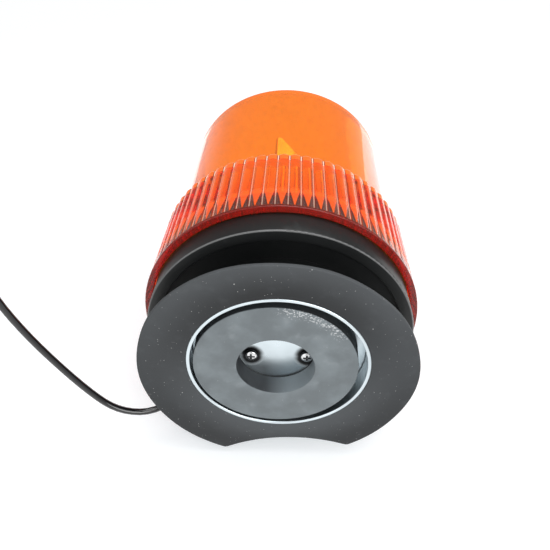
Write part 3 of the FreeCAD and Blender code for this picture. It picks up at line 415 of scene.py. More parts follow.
@dataclass(frozen=True)
class ReedBand:
    """A tapered band of reeds and its marks of painted light and shade; widths are shares of a reed,
    heights start at the foot.
    """

    count: int
    foot: float
    reach: float
    taper: float
    tooth: Mark
    gap: Mark
    flank: Mark
    line: Mark
    skin: Span = (0.0004, 0.0001)
    rim: Span = (0.0012, 0.0016)
    gap_height: Span = (0.016, 0.012)
    tooth_width: Span = (0.46, 0.54)
    tooth_taper: float = 31.0
    flank_width: Span = (0.14, 0.09)
    line_width: Span = (0.07, 0.025)

    def marks(self, surface: Surface, level: Wire, radius: Wire) -> list[tuple[Wire, Mark]]:
        """Painted light and shade: dark teeth at the feet of the reeds, glowing gaps between them, dark
        flanks and pale valley lines as painted highlights.

        Args:
            surface: The surface that is painted.
            level: The height of the place.
            radius: Its distance from the axis.

        Returns:
            Where each mark is, 1 on it and 0 elsewhere, and what it looks like.
        """
        across = surface.along("Y")
        turns = across.maths("ARCTAN2", across.other("X")) * (self.count / math.tau)
        from_line = (turns.maths("FRACT") - 0.5).maths("ABSOLUTE")
        height = level - self.foot
        skin = [self.reach - depth for depth in self.skin]
        rim = [self.foot + rise for rise in self.rim]
        gap_height = [self.foot + rise for rise in self.gap_height]
        shown = surface.step(radius + height * self.taper, *skin) * surface.step(level, *rim)
        past_tooth = surface.step(from_line + height * self.tooth_taper, *self.tooth_width)
        return [
            ((1.0 - past_tooth) * shown, self.tooth),
            (past_tooth * surface.step(level, *gap_height) * shown, self.gap),
            (surface.step(from_line, *self.flank_width) * shown, self.flank),
            (surface.step(from_line, *self.line_width) * shown, self.line),
        ]


@dataclass(frozen=True)
class ClearPlastic(Finish):
    """Clear tinted plastic: the tint deepens with the path of the light, and some stretches are dull
    plastic painted with light and shade.
    """

    tint: Colour
    density: float
    bands: tuple[DullBand, ...]
    reeds: ReedBand
    haze_colour: Colour = (1.0, 0.2, 0.03)
    cloud: float = 0.07
    rough: float = 0.03

    def dulled(self, surface: Surface) -> tuple[Wire, Wire, Wire]:
        """The dull stretches, each over those before it.

        Args:
            surface: The surface that is painted.

        Returns:
            How dull the plastic is, its painted colour there and its glow of painted light.
        """
        level = surface.level()
        radius = surface.distance(AXIS)
        share = surface.noise(260.0, 4.0) * 2.0 * self.cloud
        colour: Colour | Wire = self.haze_colour
        glow: Colour | Wire = DARK
        marks = [(band.inside(surface, level, radius), band.mark) for band in self.bands]
        for inside, mark in [*marks, *self.reeds.marks(surface, level, radius)]:
            share = share.maths("MAXIMUM", inside * mark.share)
            colour = surface.blend(inside, colour, mark.colour)
            glow = surface.blend(inside, glow, mark.glow)
        return share, colour, glow

    def paint(self, surface: Surface) -> None:
        """Clear plastic with flow lines and a little haze, mixed with dull plastic that carries painted
        light and shade, its glow given as emission.

        Args:
            surface: The surface to fill.
        """
        flow = surface.noise(45.0, 2.0)
        haze = surface.step(surface.noise(260.0, 4.0), 0.45, 0.8)
        dust = surface.specks(0.003, 0.00015, 0.35)
        share, colour, glow = self.dulled(surface)
        clear = surface.add(
            "ShaderNodeBsdfPrincipled",
            None,
            {
                "Base Color": surface.blend(dust * 0.5, (1.0, 0.995, 0.99), (0.9, 0.8, 0.7)),
                "Roughness": self.rough + haze * 0.05 + dust * 0.3,
                "IOR": 1.49,
                "Transmission Weight": 1.0,
                "Normal": surface.bump(flow, 0.0004, 0.25),
            },
        )
        # The dull plastic: its colour and its emission glow are painted light and shade.
        cloudy = surface.add(
            "ShaderNodeBsdfPrincipled",
            None,
            {
                "Base Color": colour,
                "Roughness": 0.25 + haze * 0.2,
                "Emission Color": glow,
                "Emission Strength": 1.0,
            },
        )
        plastic = surface.add("ShaderNodeMixShader", None, {0: share, 1: clear, 2: cloudy})
        filling = surface.add(
            "ShaderNodeVolumeAbsorption", None, {"Color": (*self.tint, 1.0), "Density": self.density}
        )
        surface.add("ShaderNodeOutputMaterial", None, {"Surface": plastic, "Volume": filling})


@dataclass(frozen=True)
class PaintedEdgeHighlight:
    """A painted highlight: a pale line along a lower outer edge, from its level and radius."""

    level: float
    radius: float
    height: Span = (0.0007, 0.0004)
    depth: Span = (0.0007, 0.0003)
    share: float = 0.75
    colour: Colour = (0.17, 0.173, 0.175)

    def over(self, surface: Surface, body: Wire) -> Wire:
        """The colour of a body with the painted highlight along its edge.

        Args:
            surface: The surface that is painted.
            body: The body's colour.

        Returns:
            That colour, paler at the edge.
        """
        low = surface.step(surface.level(), *(self.level + rise for rise in self.height))
        outer = surface.step(surface.distance(AXIS), *(self.radius - depth for depth in self.depth))
        return surface.blend(low * outer * self.share, body, self.colour)


@dataclass(frozen=True)
class MouldedPlastic(Finish):
    """Moulded plastic with a fine grain, cloudy gloss and light scuffs."""

    colour: Colour
    rough: float = 0.5
    grain_depth: float = 0.00004
    scuffs: float = 0.5
    gloss: float = 0.4
    edge_highlight: PaintedEdgeHighlight | None = None

    def paint(self, surface: Surface) -> None:
        """Cloudy colour, a fine grain, scuffs that run round the piece, and its painted edge highlight, if
        any.

        Args:
            surface: The surface to fill.
        """
        cloud = surface.noise(55.0, 4.0)
        grain = surface.noise(1600.0, 2.0)
        streaks = surface.noise(240.0, 5.0, surface.stretched((1.0, 1.0, 9.0)))
        scuff = surface.step(streaks, 0.6, 0.78) * self.scuffs
        dust = surface.specks(0.005, 0.00016, 0.3) * self.scuffs
        darker = tuple(0.8 * part for part in self.colour)
        lighter = tuple(1.2 * part for part in self.colour)
        worn = tuple(0.06 + 1.6 * part for part in self.colour)
        body = surface.blend(cloud, darker, lighter)
        # Painted highlight: a pale line along the lower outer edge.
        if self.edge_highlight:
            body = self.edge_highlight.over(surface, body)
        surface.shade(
            {
                "Base Color": surface.blend(scuff * 0.18 + dust * 0.6, body, worn),
                "Roughness": self.rough - 0.06 + cloud * 0.12 + scuff * 0.12,
                "Specular IOR Level": self.gloss,
                "Normal": surface.bump(grain, self.grain_depth, 0.5),
            }
        )


@dataclass(frozen=True)
class DustyRubber(Finish):
    """Matt rubber with bloom, rubbed patches, specks of dust and painted shade across its flange."""

    colour: Colour
    bloom_and_painted_light: Colour
    dust: float = 1.0
    dust_colour: Colour = (0.6, 0.6, 0.59)
    side_to_side: Span = (-0.055, 0.055)
    outward: Span = (0.039, 0.058)

    def paint(self, surface: Surface) -> None:
        """Bloom in clouds, painted shade across the flange, coarse and fine dust, fibres, and an uneven
        skin.

        Args:
            surface: The surface to fill.
        """
        cloud = surface.step(surface.noise(32.0, 5.0), 0.3, 0.72)
        rubbed = surface.step(surface.noise(150.0, 6.0), 0.52, 0.75)
        skin = surface.noise(700.0, 4.0)
        coarse = surface.specks(0.0042, 0.00028, 0.5)
        fine = surface.specks(0.0013, 0.00019, 0.6)
        hairs = surface.step(surface.noise(420.0, 2.0, surface.stretched((0.18, 1.0, 1.0))), 0.74, 0.8)
        # Painted shade across the flange: lighter towards +Y near the collar and towards -Y at the rim.
        across = surface.step(surface.along("Y"), *self.side_to_side)
        outward = surface.step(surface.distance(AXIS), *self.outward)
        painted_flange_shade = across + outward * 0.8 - across * outward * 1.6
        shade = cloud * 0.16 + rubbed * 0.12 + painted_flange_shade * 0.9 - 0.08
        body = surface.blend(shade, self.colour, self.bloom_and_painted_light)
        specks = (coarse + fine + hairs * 0.5).maths("MINIMUM", 1.0) * self.dust
        surface.shade(
            {
                "Base Color": surface.blend(specks * 0.75, body, self.dust_colour),
                "Roughness": 0.66 + cloud * 0.14 + specks * 0.1,
                "Specular IOR Level": 0.35,
                "Normal": surface.bump(skin, 0.00012, 0.5),
            }
        )


@dataclass(frozen=True)
class PlatedSteel(Finish):
    """Bright plated or bare metal with faint drawing lines and smudges."""

    colour: Colour
    rough: float = 0.28
    lines: Point = (1.0, 1.0, 14.0)
    dark_spots_at: tuple[Point, ...] = ()
    dark_spot_reach: Span = (0.006, 0.0033)
    dark_spot_colour: Colour = (0.006, 0.006, 0.0065)
    painted_glint_levels: Span | None = None
    painted_glint_colour: Colour = (0.85, 0.86, 0.87)

    def paint(self, surface: Surface) -> None:
        """Cloudy plating and drawing lines, a crown painted bright as a glint, and dark spots where there
        are any.

        Args:
            surface: The surface to fill.
        """
        cloud = surface.noise(120.0, 5.0)
        drawn = surface.noise(500.0, 3.0, surface.stretched(self.lines))
        smudge = surface.step(surface.noise(38.0, 4.0), 0.42, 0.7)
        darker = tuple(0.82 * part for part in self.colour)
        metal = surface.blend(smudge * 0.6 + cloud * 0.4, self.colour, darker)
        # Painted glint: the crown is painted a brighter metal.
        if self.painted_glint_levels:
            worn = surface.step(surface.level(), *self.painted_glint_levels)
            metal = surface.blend(worn, metal, self.painted_glint_colour)
        shine: Wire | float = 1.0
        rough = self.rough - 0.05 + cloud * 0.1 + smudge * 0.06
        # Dark spots round the given places: darker, rougher and less metallic.
        if self.dark_spots_at:
            dark_spots: Wire | None = None
            for place in self.dark_spots_at:
                ragged = surface.distance(place) + (cloud - 0.5) * 0.002
                spot = surface.step(ragged, *self.dark_spot_reach)
                dark_spots = spot if dark_spots is None else dark_spots.maths("MAXIMUM", spot)
            metal = surface.blend(dark_spots, metal, self.dark_spot_colour)
            rough = rough + dark_spots * 0.3
            shine = 1.0 - dark_spots * 0.9
        surface.shade(
            {
                "Base Color": metal,
                "Metallic": shine,
                "Roughness": rough,
                "Normal": surface.bump(drawn, 0.00003, 0.35),
            }
        )


@dataclass(frozen=True)
class SinteredFerrite(Finish):
    """Grey sintered ferrite with a ground face, a chipped edge and walls painted with shade."""

    centre: Point
    radius: float
    chip_side: float
    top: float
    chip_band: Span = (0.007, 0.002)
    face_edge: Span = (0.0009, 0.0005)
    wall_radii: Span = (0.02, 0.03)
    foot_line: Span = (0.0009, 0.0006)
    line_colour: Colour = (0.008, 0.009, 0.01)
    lit_and_shaded_bore_colours: tuple[Colour, Colour] = ((0.032, 0.035, 0.039), (0.22, 0.255, 0.275))
    shaded_outside_colour: Colour = (0.02, 0.022, 0.024)
    chip_colour: Colour = (0.62, 0.64, 0.65)

    def walls(self, surface: Surface) -> Wire:
        """The colour of the walls, with painted light and shade: a bore painted paler on one side and
        darker on the other, with a dark line at its foot, and an outside wall painted dark.

        Args:
            surface: The surface that is painted.

        Returns:
            The colour.
        """
        # Painted light and shade: the bore is painted paler towards +X, and the outside wall dark.
        lit_side_share = surface.step(surface.facing(self.centre, 0.0), -0.4, 0.5)
        foot = surface.step(surface.level(), *(self.top - height for height in self.foot_line))
        outer = surface.step(surface.distance(self.centre), *self.wall_radii)
        bore = surface.blend(foot, surface.blend(lit_side_share, *self.lit_and_shaded_bore_colours), self.line_colour)
        return surface.blend(outer, bore, self.shaded_outside_colour)

    def paint(self, surface: Surface) -> None:
        """Mottled grey, grinding lines, pale chips along one side and small nicks all round.

        Args:
            surface: The surface to fill.
        """
        mottle = surface.step(surface.noise(75.0, 6.0), 0.35, 0.7)
        pale = surface.step(surface.noise(140.0, 5.0), 0.56, 0.72)
        ground = surface.noise(800.0, 3.0, surface.stretched((0.12, 1.0, 1.0)))
        band = [self.radius - inset for inset in self.chip_band]
        edge = surface.step(surface.distance(self.centre), *band)
        side = surface.step(surface.facing(self.centre, self.chip_side), 0.8, 0.97)
        face = surface.step(surface.level(), *self.face_edge)
        grit = surface.noise(1300.0, 5.0)
        chips = surface.step(grit + edge * side * 0.14, 0.66, 0.72) * edge * side * face
        nicks = surface.specks(0.002, 0.0002, 0.5) + surface.specks(0.0011, 0.0001, 0.3)
        body = surface.blend(mottle, (0.147, 0.168, 0.179), (0.21, 0.241, 0.256))
        body = surface.blend(pale * 0.3, body, (0.3, 0.33, 0.345))
        body = surface.blend(face, self.walls(surface), body)
        white = (chips + nicks * 0.6).maths("MINIMUM", 1.0)
        surface.shade(
            {
                "Base Color": surface.blend(white * 0.85, body, self.chip_colour),
                "Roughness": 0.52 + mottle * 0.14,
                "Specular IOR Level": 0.45,
                "Normal": surface.bump(ground + chips * 2.0, 0.00006, 0.5),
            }
        )


@dataclass(frozen=True)
class ClearGlass(Finish):
    """Thin clear glass with a little soot near the filament."""

    def paint(self, surface: Surface) -> None:
        """A faint grey cloud over plain glass.

        Args:
            surface: The surface to fill.
        """
        soot = surface.step(surface.noise(90.0, 3.0), 0.5, 0.85)
        surface.shade(
            {
                "Base Color": surface.blend(soot * 0.5, WHITE, (0.8, 0.8, 0.78)),
                "Roughness": 0.01 + soot * 0.03,
                "IOR": 1.47,
                "Transmission Weight": 1.0,
            }
        )


# Lens bands of dull plastic; each glow is painted light.
DRUM_TOP = DullBand(0.1453, 0.15, 0.0008, Mark(0.9, (1.0, 0.2, 0.012), (0.12, 0.02, 0.0)))
# Painted highlight: a pale line along the drum's top edge.
DRUM_TOP_PAINTED_HIGHLIGHT = DullBand(0.1491, 0.15, 0.0002, Mark(0.9, (1.0, 0.5, 0.36), (0.1, 0.05, 0.03)))
LEDGE_UNDERSIDE = DullBand(0.0706, 0.0716, 0.0003, Mark(0.9, (1.0, 0.35, 0.05), (0.9, 0.42, 0.03)), 0.0508)
LEDGE_EDGE = DullBand(0.0698, 0.0736, 0.0012, Mark(0.9, (1.0, 0.17, 0.01), (0.15, 0.02, 0.0)), 0.0558)
# Painted highlight: a pale line along the ledge's top edge.
LEDGE_PAINTED_HIGHLIGHT = DullBand(0.0733, 0.0736, 0.0001, Mark(0.9, (1.0, 0.66, 0.5), (0.35, 0.22, 0.16)), 0.0558)
SKIRT = DullBand(0.0318, 0.0425, 0.001, Mark(0.17, (0.9, 0.17, 0.03), (0.1, 0.015, 0.0)))
# Painted shade: the lens rim's lower face is dark dull red.
SKIRT_RIM = DullBand(0.0305, 0.0317, 0.0001, Mark(0.7, (0.16, 0.014, 0.008), (0.01, 0.0, 0.0)))
# The reed marks: the teeth and flanks are painted shade, the gaps glow as painted light, and the lines are
# painted highlights.
AMBER_REEDS = ReedBand(
    count=72,
    foot=0.0306,
    reach=0.0604,
    taper=0.0605,
    tooth=Mark(0.4, (0.13, 0.045, 0.03)),
    gap=Mark(0.7, (1.0, 0.12, 0.012), (0.3, 0.03, 0.003)),
    flank=Mark(0.32, (0.2, 0.04, 0.02)),
    line=Mark(0.29, (1.0, 0.7, 0.54), (0.2, 0.13, 0.1)),
)
AMBER = ClearPlastic(
    "amber_lens_plastic",
    tint=(0.996, 0.69, 0.01),
    density=860.0,
    bands=(DRUM_TOP, DRUM_TOP_PAINTED_HIGHLIGHT, LEDGE_UNDERSIDE, LEDGE_EDGE, LEDGE_PAINTED_HIGHLIGHT, SKIRT, SKIRT_RIM),
    reeds=AMBER_REEDS,
)
# The base carries a painted highlight along its lower outer edge.
BLACK_PLASTIC = MouldedPlastic(
    "black_base_plastic", (0.005, 0.0062, 0.0064), 0.44, gloss=0.72, edge_highlight=PaintedEdgeHighlight(0.0185, 0.0583)
)
PLUG_PLASTIC = MouldedPlastic("black_plug_plastic", (0.012, 0.012, 0.013), 0.36, 0.00002, 0.25)
GEAR_PLASTIC = MouldedPlastic("white_gear_plastic", (0.68, 0.67, 0.62), 0.42, 0.00002, 0.1)
CORD_SHEATH = MouldedPlastic("black_cord_sheath", (0.006, 0.006, 0.007), 0.15, 0.000004, 0.2, 1.0)
# The bloom colour is also the lit end of the painted shade on the flange.
BOOT_RUBBER = DustyRubber("dusty_boot_rubber", (0.022, 0.0235, 0.025), (0.092, 0.1, 0.107))
SEAL_RUBBER = DustyRubber("black_seal_rubber", (0.014, 0.014, 0.015), (0.022, 0.022, 0.023), 0.2)
ZINC = PlatedSteel("zinc_plate", (0.78, 0.81, 0.83))
MIRROR = PlatedSteel("polished_reflector", (0.93, 0.92, 0.9), 0.12, (6.0, 6.0, 0.6))
BRASS = PlatedSteel("bright_brass", (0.72, 0.52, 0.2), 0.24)
TUNGSTEN = PlatedSteel("drawn_tungsten", (0.3, 0.29, 0.28), 0.36)
# The screw heads' crowns are painted bright as a glint.
SCREW_BLACK = PlatedSteel(
    "blackened_screw_steel", (0.05, 0.052, 0.054), 0.15, painted_glint_levels=(0.0087, 0.0082)
)
LAMP_GLASS = ClearGlass("lamp_glass")


class Record:
    """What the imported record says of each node."""

    def __init__(self, packed: dict[str, Any]) -> None:
        """Read each node's material slot and body.

        Args:
            packed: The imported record.
        """
        bodies = packed["behaviour"]["bodies"]
        self.slots = {part["node"]: part["material_slot"] for part in packed["subparts"]}
        self.bodies = {node: body for body, nodes in bodies.items() for node in nodes}

    def settle(self, piece: bpy.types.Object, *nodes: str) -> bpy.types.Object:
        """Let a finished piece stand for its nodes and move with their body.

        Args:
            piece: The finished piece, in place.
            nodes: The nodes that it stands for; the first gives its body and slot.

        Returns:
            The piece.
        """
        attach(piece, self.bodies[nodes[0]])
        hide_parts(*nodes)
        log.info("%s stands for %s on %s", piece.name, ", ".join(nodes), self.bodies[nodes[0]])
        return piece


record = Record(frame["record"])


def new_object(name: str, data: bpy.types.ID) -> bpy.types.Object:
    """An object in the scene's own collection.

    Args:
        name: The object's name.
        data: Its mesh, curve, lamp or camera.

    Returns:
        The object.
    """
    made = bpy.data.objects.new(name, data)
    bpy.context.scene.collection.objects.link(made)
    return made


def apply_modifiers(piece: bpy.types.Object) -> None:
    """Keep what a piece's modifiers make as its plain mesh.

    Args:
        piece: The piece.
    """
    graph = bpy.context.evaluated_depsgraph_get()
    result = bpy.data.meshes.new_from_object(piece.evaluated_get(graph))
    piece.modifiers.clear()
    piece.data = result


def tidy_mesh(mesh: bpy.types.Mesh, change: Callable[[bmesh.types.BMesh], None] | None = None) -> None:
    """Merge doubles, turn the faces outward, and shade smooth up to sharp edges.

    Args:
        mesh: The mesh to tidy.
        change: A further change, after the doubles are merged.
    """
    form = bmesh.new()
    form.from_mesh(mesh)
    bmesh.ops.remove_doubles(form, verts=form.verts, dist=MERGE_GAP)
    if change is not None:
        change(form)
    bmesh.ops.recalc_face_normals(form, faces=form.faces)
    form.to_mesh(mesh)
    form.free()
    mesh.shade_smooth()
    mesh.set_sharp_from_angle(angle=SHARP_ANGLE)


def join_flat_faces(form: bmesh.types.BMesh) -> None:
    """Join the triangles of each flat face."""
    bmesh.ops.dissolve_limit(form, angle_limit=FLAT_ANGLE, verts=form.verts, edges=form.edges)


def finished_node(node: str, finish: Finish, edges: EdgeKind = EdgeKind.CUT) -> bpy.types.Object:
    """A node with smooth faces, softened edges and its finish.

    Args:
        node: The node's name.
        finish: Its finish.
        edges: How far its edges are softened.

    Returns:
        The finished piece, which stands for the node.
    """
    source = frame["nodes"][node].data
    mesh = bpy.data.meshes.new(f"{node}_form")
    mesh.from_pydata(
        [vertex.co[:] for vertex in source.vertices], [], [face.vertices[:] for face in source.polygons]
    )
    tidy_mesh(mesh, join_flat_faces)
    mesh.materials.append(finish.material())
    piece = new_object(f"finished_{node}", mesh)
    if edges is not EdgeKind.CUT:
        bevel = piece.modifiers.new("softened_edges", "BEVEL")
        bevel.width = edges.value
        bevel.segments = BEVEL_STEPS
        bevel.limit_method = "ANGLE"
        bevel.angle_limit = BEVEL_ANGLE
    return record.settle(piece, node)


@dataclass(frozen=True)
class Corner:
    """A corner of a turned piece's outline."""

    radius: float
    level: float
    rounding: float = 0.0
    reed: float = 0.0


def bent(before: Corner, corner: Corner, after: Corner) -> Iterator[Corner]:
    """The round stretch that takes the place of a corner.

    Args:
        before: The corner before it.
        corner: The corner that is rounded.
        after: The corner after it.

    Yields:
        Points along the round stretch.
    """
    middle = Vector((corner.radius, corner.level))
    towards = [(Vector((end.radius, end.level)) - middle).normalized() for end in (before, after)]
    reach = corner.rounding / math.tan(towards[0].angle(towards[1]) / 2)
    first, last = (middle + direction * reach for direction in towards)
    for step in range(ARC_STEPS + 1):
        share = step / ARC_STEPS
        point = first.lerp(middle, share).lerp(middle.lerp(last, share), share)
        yield Corner(point.x, point.y, 0.0, corner.reed)


def outline_points(corners: Sequence[Corner], closed: bool, longest: float) -> list[Corner]:
    """The points of an outline, with round corners and no long runs.

    Args:
        corners: The corners in order.
        closed: Whether the last joins the first.
        longest: The longest run that may stay undivided.

    Returns:
        The points, with the first repeated at the end of a closed outline.
    """
    points: list[Corner] = []
    for index, corner in enumerate(corners):
        if corner.rounding:
            points.extend(bent(corners[index - 1], corner, corners[(index + 1) % len(corners)]))
        else:
            points.append(corner)
    if closed:
        points.append(points[0])
    divided = points[:1]
    for start, end in zip(points, points[1:]):
        run = math.hypot(end.radius - start.radius, end.level - start.level)
        parts = max(1, math.ceil(run / longest))
        for part in range(1, parts + 1):
            share = part / parts
            divided.append(
                Corner(
                    start.radius + (end.radius - start.radius) * share,
                    start.level + (end.level - start.level) * share,
                    0.0,
                    start.reed + (end.reed - start.reed) * share,
                )
            )
    return divided


def new_tree(name: str, inputs: dict[str, str]) -> tuple[Graph, Wire]:
    """An empty geometry tree with named inputs.

    Args:
        name: The tree's name.
        inputs: Socket types by input name.

    Returns:
        The tree's graph and its input node.
    """
    tree = bpy.data.node_groups.new(name, "GeometryNodeTree")
    for label, kind in inputs.items():
        tree.interface.new_socket(label, in_out="INPUT", socket_type=kind)
    tree.interface.new_socket("Form", in_out="OUTPUT", socket_type="NodeSocketGeometry")
    graph = Graph(tree)
    return graph, graph.add("NodeGroupInput")


def close_tree(graph: Graph, form: Wire, material: Wire) -> bpy.types.NodeTree:
    """Realize the form, give it its material and end the tree.

    Args:
        graph: The tree's graph.
        form: The form that was made.
        material: The material input.

    Returns:
        The finished tree.
    """
    real = graph.add("GeometryNodeRealizeInstances", None, {"Geometry": form})
    dressed = graph.add("GeometryNodeSetMaterial", None, {"Geometry": real, "Material": material})
    graph.add("NodeGroupOutput", None, {"Form": dressed})
    return graph.tree


def run_tree(
    name: str, mesh: bpy.types.Mesh, tree: bpy.types.NodeTree, values: dict[str, Any]
) -> bpy.types.Object:
    """Run a geometry tree on a mesh and keep the result as a plain mesh.

    Args:
        name: The new object's name.
        mesh: What the tree starts from.
        tree: The tree.
        values: Its inputs by name.

    Returns:
        An object that holds the result.
    """
    carrier = new_object(name, mesh)
    modifier = carrier.modifiers.new("form", "NODES")
    modifier.node_group = tree
    for item in tree.interface.items_tree:
        if item.in_out == "INPUT" and item.name in values:
            modifier[item.identifier] = values[item.name]
    apply_modifiers(carrier)
    return carrier


def turning_tree() -> bpy.types.NodeTree:
    """A tree that turns an outline about the upright axis and cuts reeds into its rim.

    Returns:
        The tree.
    """
    made = bpy.data.node_groups.get("turned_form")
    if made is not None:
        return made
    graph, given = new_tree(
        "turned_form",
        {
            "Outline": "NodeSocketGeometry",
            "Points": "NodeSocketInt",
            "Steps": "NodeSocketInt",
            "Reeds": "NodeSocketInt",
            "Reed Depth": "NodeSocketFloat",
            "Centre": "NodeSocketVector",
            "Material": "NodeSocketMaterial",
        },
    )
    points, steps = given.other("Points"), given.other("Steps")
    counts = {"Vertices X": steps + 1.0, "Vertices Y": points}
    net = graph.add("GeometryNodeMeshGrid", None, counts, "Mesh")
    index = graph.add("GeometryNodeInputIndex")
    spoke = ((index + 0.5) / points).maths("FLOOR")
    sample = {"Geometry": given.other("Outline"), "Index": index - spoke * points}
    number = {"data_type": "FLOAT"}
    place = {"Value": graph.add("GeometryNodeInputPosition")}
    reed = {"Value": graph.add("GeometryNodeInputNamedAttribute", number, {"Name": "reed"}, "Attribute")}
    corner = graph.add(
        "GeometryNodeSampleIndex", {"data_type": "FLOAT_VECTOR"}, {**sample, **place}, "Value"
    )
    weight = graph.add("GeometryNodeSampleIndex", number, {**sample, **reed}, "Value")
    radius = graph.add("ShaderNodeSeparateXYZ", None, {0: corner}, "X")
    share = spoke / steps
    phase = (share * given.other("Reeds") + 0.5).maths("FRACT") - 0.5
    rim = radius - phase * phase * given.other("Reed Depth") * weight * 4.0
    angle = share * math.tau
    round_axis = graph.add(
        "ShaderNodeCombineXYZ",
        None,
        {"X": rim * angle.maths("COSINE"), "Y": rim * angle.maths("SINE"), "Z": radius.other("Z")},
    )
    moved = graph.vector("ADD", round_axis, given.other("Centre"))
    form = graph.add("GeometryNodeSetPosition", None, {"Geometry": net, "Position": moved})
    whole = graph.add("GeometryNodeMergeByDistance", None, {"Geometry": form, "Distance": MERGE_GAP})
    return close_tree(graph, whole, given.other("Material"))


def turned(
    name: str,
    corners: Sequence[Corner],
    finish: Finish,
    steps: int = 128,
    closed: bool = True,
    longest: float = 1.0,
    reeds: tuple[int, float] = (0, 0.0),
    centre: Point = AXIS,
) -> bpy.types.Object:
    """A piece turned about an upright axis.

    Args:
        name: The piece's name.
        corners: Its outline.
        finish: Its finish.
        steps: Steps round the axis.
        closed: Whether the outline is a ring; if not, it starts and ends on the axis.
        longest: The longest run of the outline that stays undivided.
        reeds: How many reeds its rim has, and their depth.
        centre: A point on the axis.

    Returns:
        The piece.
    """
    points = outline_points(corners, closed, longest)
    mesh = bpy.data.meshes.new(f"{name}_outline")
    mesh.from_pydata([(point.radius, 0.0, point.level) for point in points], [], [])
    weights = mesh.attributes.new("reed", "FLOAT", "POINT")
    weights.data.foreach_set("value", [point.reed for point in points])
    piece = run_tree(
        name,
        mesh,
        turning_tree(),
        {
            "Points": len(points),
            "Steps": steps,
            "Reeds": reeds[0],
            "Reed Depth": reeds[1],
            "Centre": centre,
            "Material": finish.material(),
        },
    )
    tidy_mesh(piece.data)
    return piece


def setting_tree() -> bpy.types.NodeTree:
    """A tree that sets a copy of a pattern at each point.

    Returns:
        The tree.
    """
    made = bpy.data.node_groups.get("set_out")
    if made is not None:
        return made
    graph, given = new_tree(
        "set_out",
        {
            "Places": "NodeSocketGeometry",
            "Pattern": "NodeSocketObject",
            "Material": "NodeSocketMaterial",
        },
    )
    pattern = graph.add("GeometryNodeObjectInfo", None, {"Object": given.other("Pattern")}, "Geometry")
    copies = graph.add(
        "GeometryNodeInstanceOnPoints", None, {"Points": given.other("Places"), "Instance": pattern}
    )
    return close_tree(graph, copies, given.other("Material"))


@dataclass(frozen=True)
class PanScrew:
    """A pan head screw with a cross recess; its head is on the side that it is driven from."""

    node: str
    head_radius: float
    head_height: float
    shank_radius: float
    dome: float
    faces_down: bool = False
    recess_width: float = 0.0009
    recess_depth: float = 0.0008
    recess_share: float = 1.15
    end_rounding: float = 0.0003
    steps: int = 32

    def build(self, places: Sequence[Spot], finish: Finish) -> bpy.types.Object:
        """The screws of one node.

        Args:
            places: Where the screws stand.
            finish: Their finish.

        Returns:
            One piece that holds them all.
        """
        low, high = (corner.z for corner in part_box(self.node))
        top, end = (low, high) if self.faces_down else (high, low)
        way = 1.0 if self.faces_down else -1.0
        seat = top + way * self.head_height
        pattern = turned(
            f"{self.node}_pattern",
            [
                Corner(0.0, top),
                Corner(self.head_radius, top, self.dome),
                Corner(self.head_radius, seat),
                Corner(self.shank_radius, seat),
                Corner(self.shank_radius, end, self.end_rounding),
                Corner(0.0, end),
            ],
            finish,
            steps=self.steps,
            closed=False,
        )
        self.cut_recess(pattern, top)
        mesh = bpy.data.meshes.new(f"{self.node}_places")
        mesh.from_pydata([(x, y, 0.0) for x, y in places], [], [])
        inputs = {"Pattern": pattern, "Material": finish.material()}
        piece = run_tree(f"finished_{self.node}", mesh, setting_tree(), inputs)
        bpy.data.objects.remove(pattern)
        piece.data.set_sharp_from_angle(angle=SHARP_ANGLE)
        return record.settle(piece, self.node)

    def cut_recess(self, pattern: bpy.types.Object, top: float) -> None:
        """Cut the cross into the head.

        Args:
            pattern: The screw.
            top: The level of the head's crown.
        """
        form = bmesh.new()
        length = self.head_radius * self.recess_share
        for size in ((length, self.recess_width), (self.recess_width, length)):
            scale = Matrix.Diagonal((*size, 2 * self.recess_depth, 1.0))
            bmesh.ops.create_cube(form, size=1.0, matrix=Matrix.Translation((0.0, 0.0, top)) @ scale)
        mesh = bpy.data.meshes.new(f"{self.node}_cross")
        form.to_mesh(mesh)
        form.free()
        cross = new_object(f"{self.node}_cross", mesh)
        cut = pattern.modifiers.new("recess", "BOOLEAN")
        cut.object = cross
        cut.operation = "DIFFERENCE"
        cut.use_self = True
        apply_modifiers(pattern)
        bpy.data.objects.remove(cross)


def ring_places(count: int, radius: float, start: float, centre: Spot = (0.0, 0.0)) -> list[Spot]:
    """Places evenly round a circle.

    Args:
        count: How many.
        radius: The circle's radius.
        start: The angle of the first.
        centre: The circle's centre.

    Returns:
        The places as x and y.
    """
    angles = [start + math.tau * step / count for step in range(count)]
    return [(centre[0] + radius * math.cos(turn), centre[1] + radius * math.sin(turn)) for turn in angles]


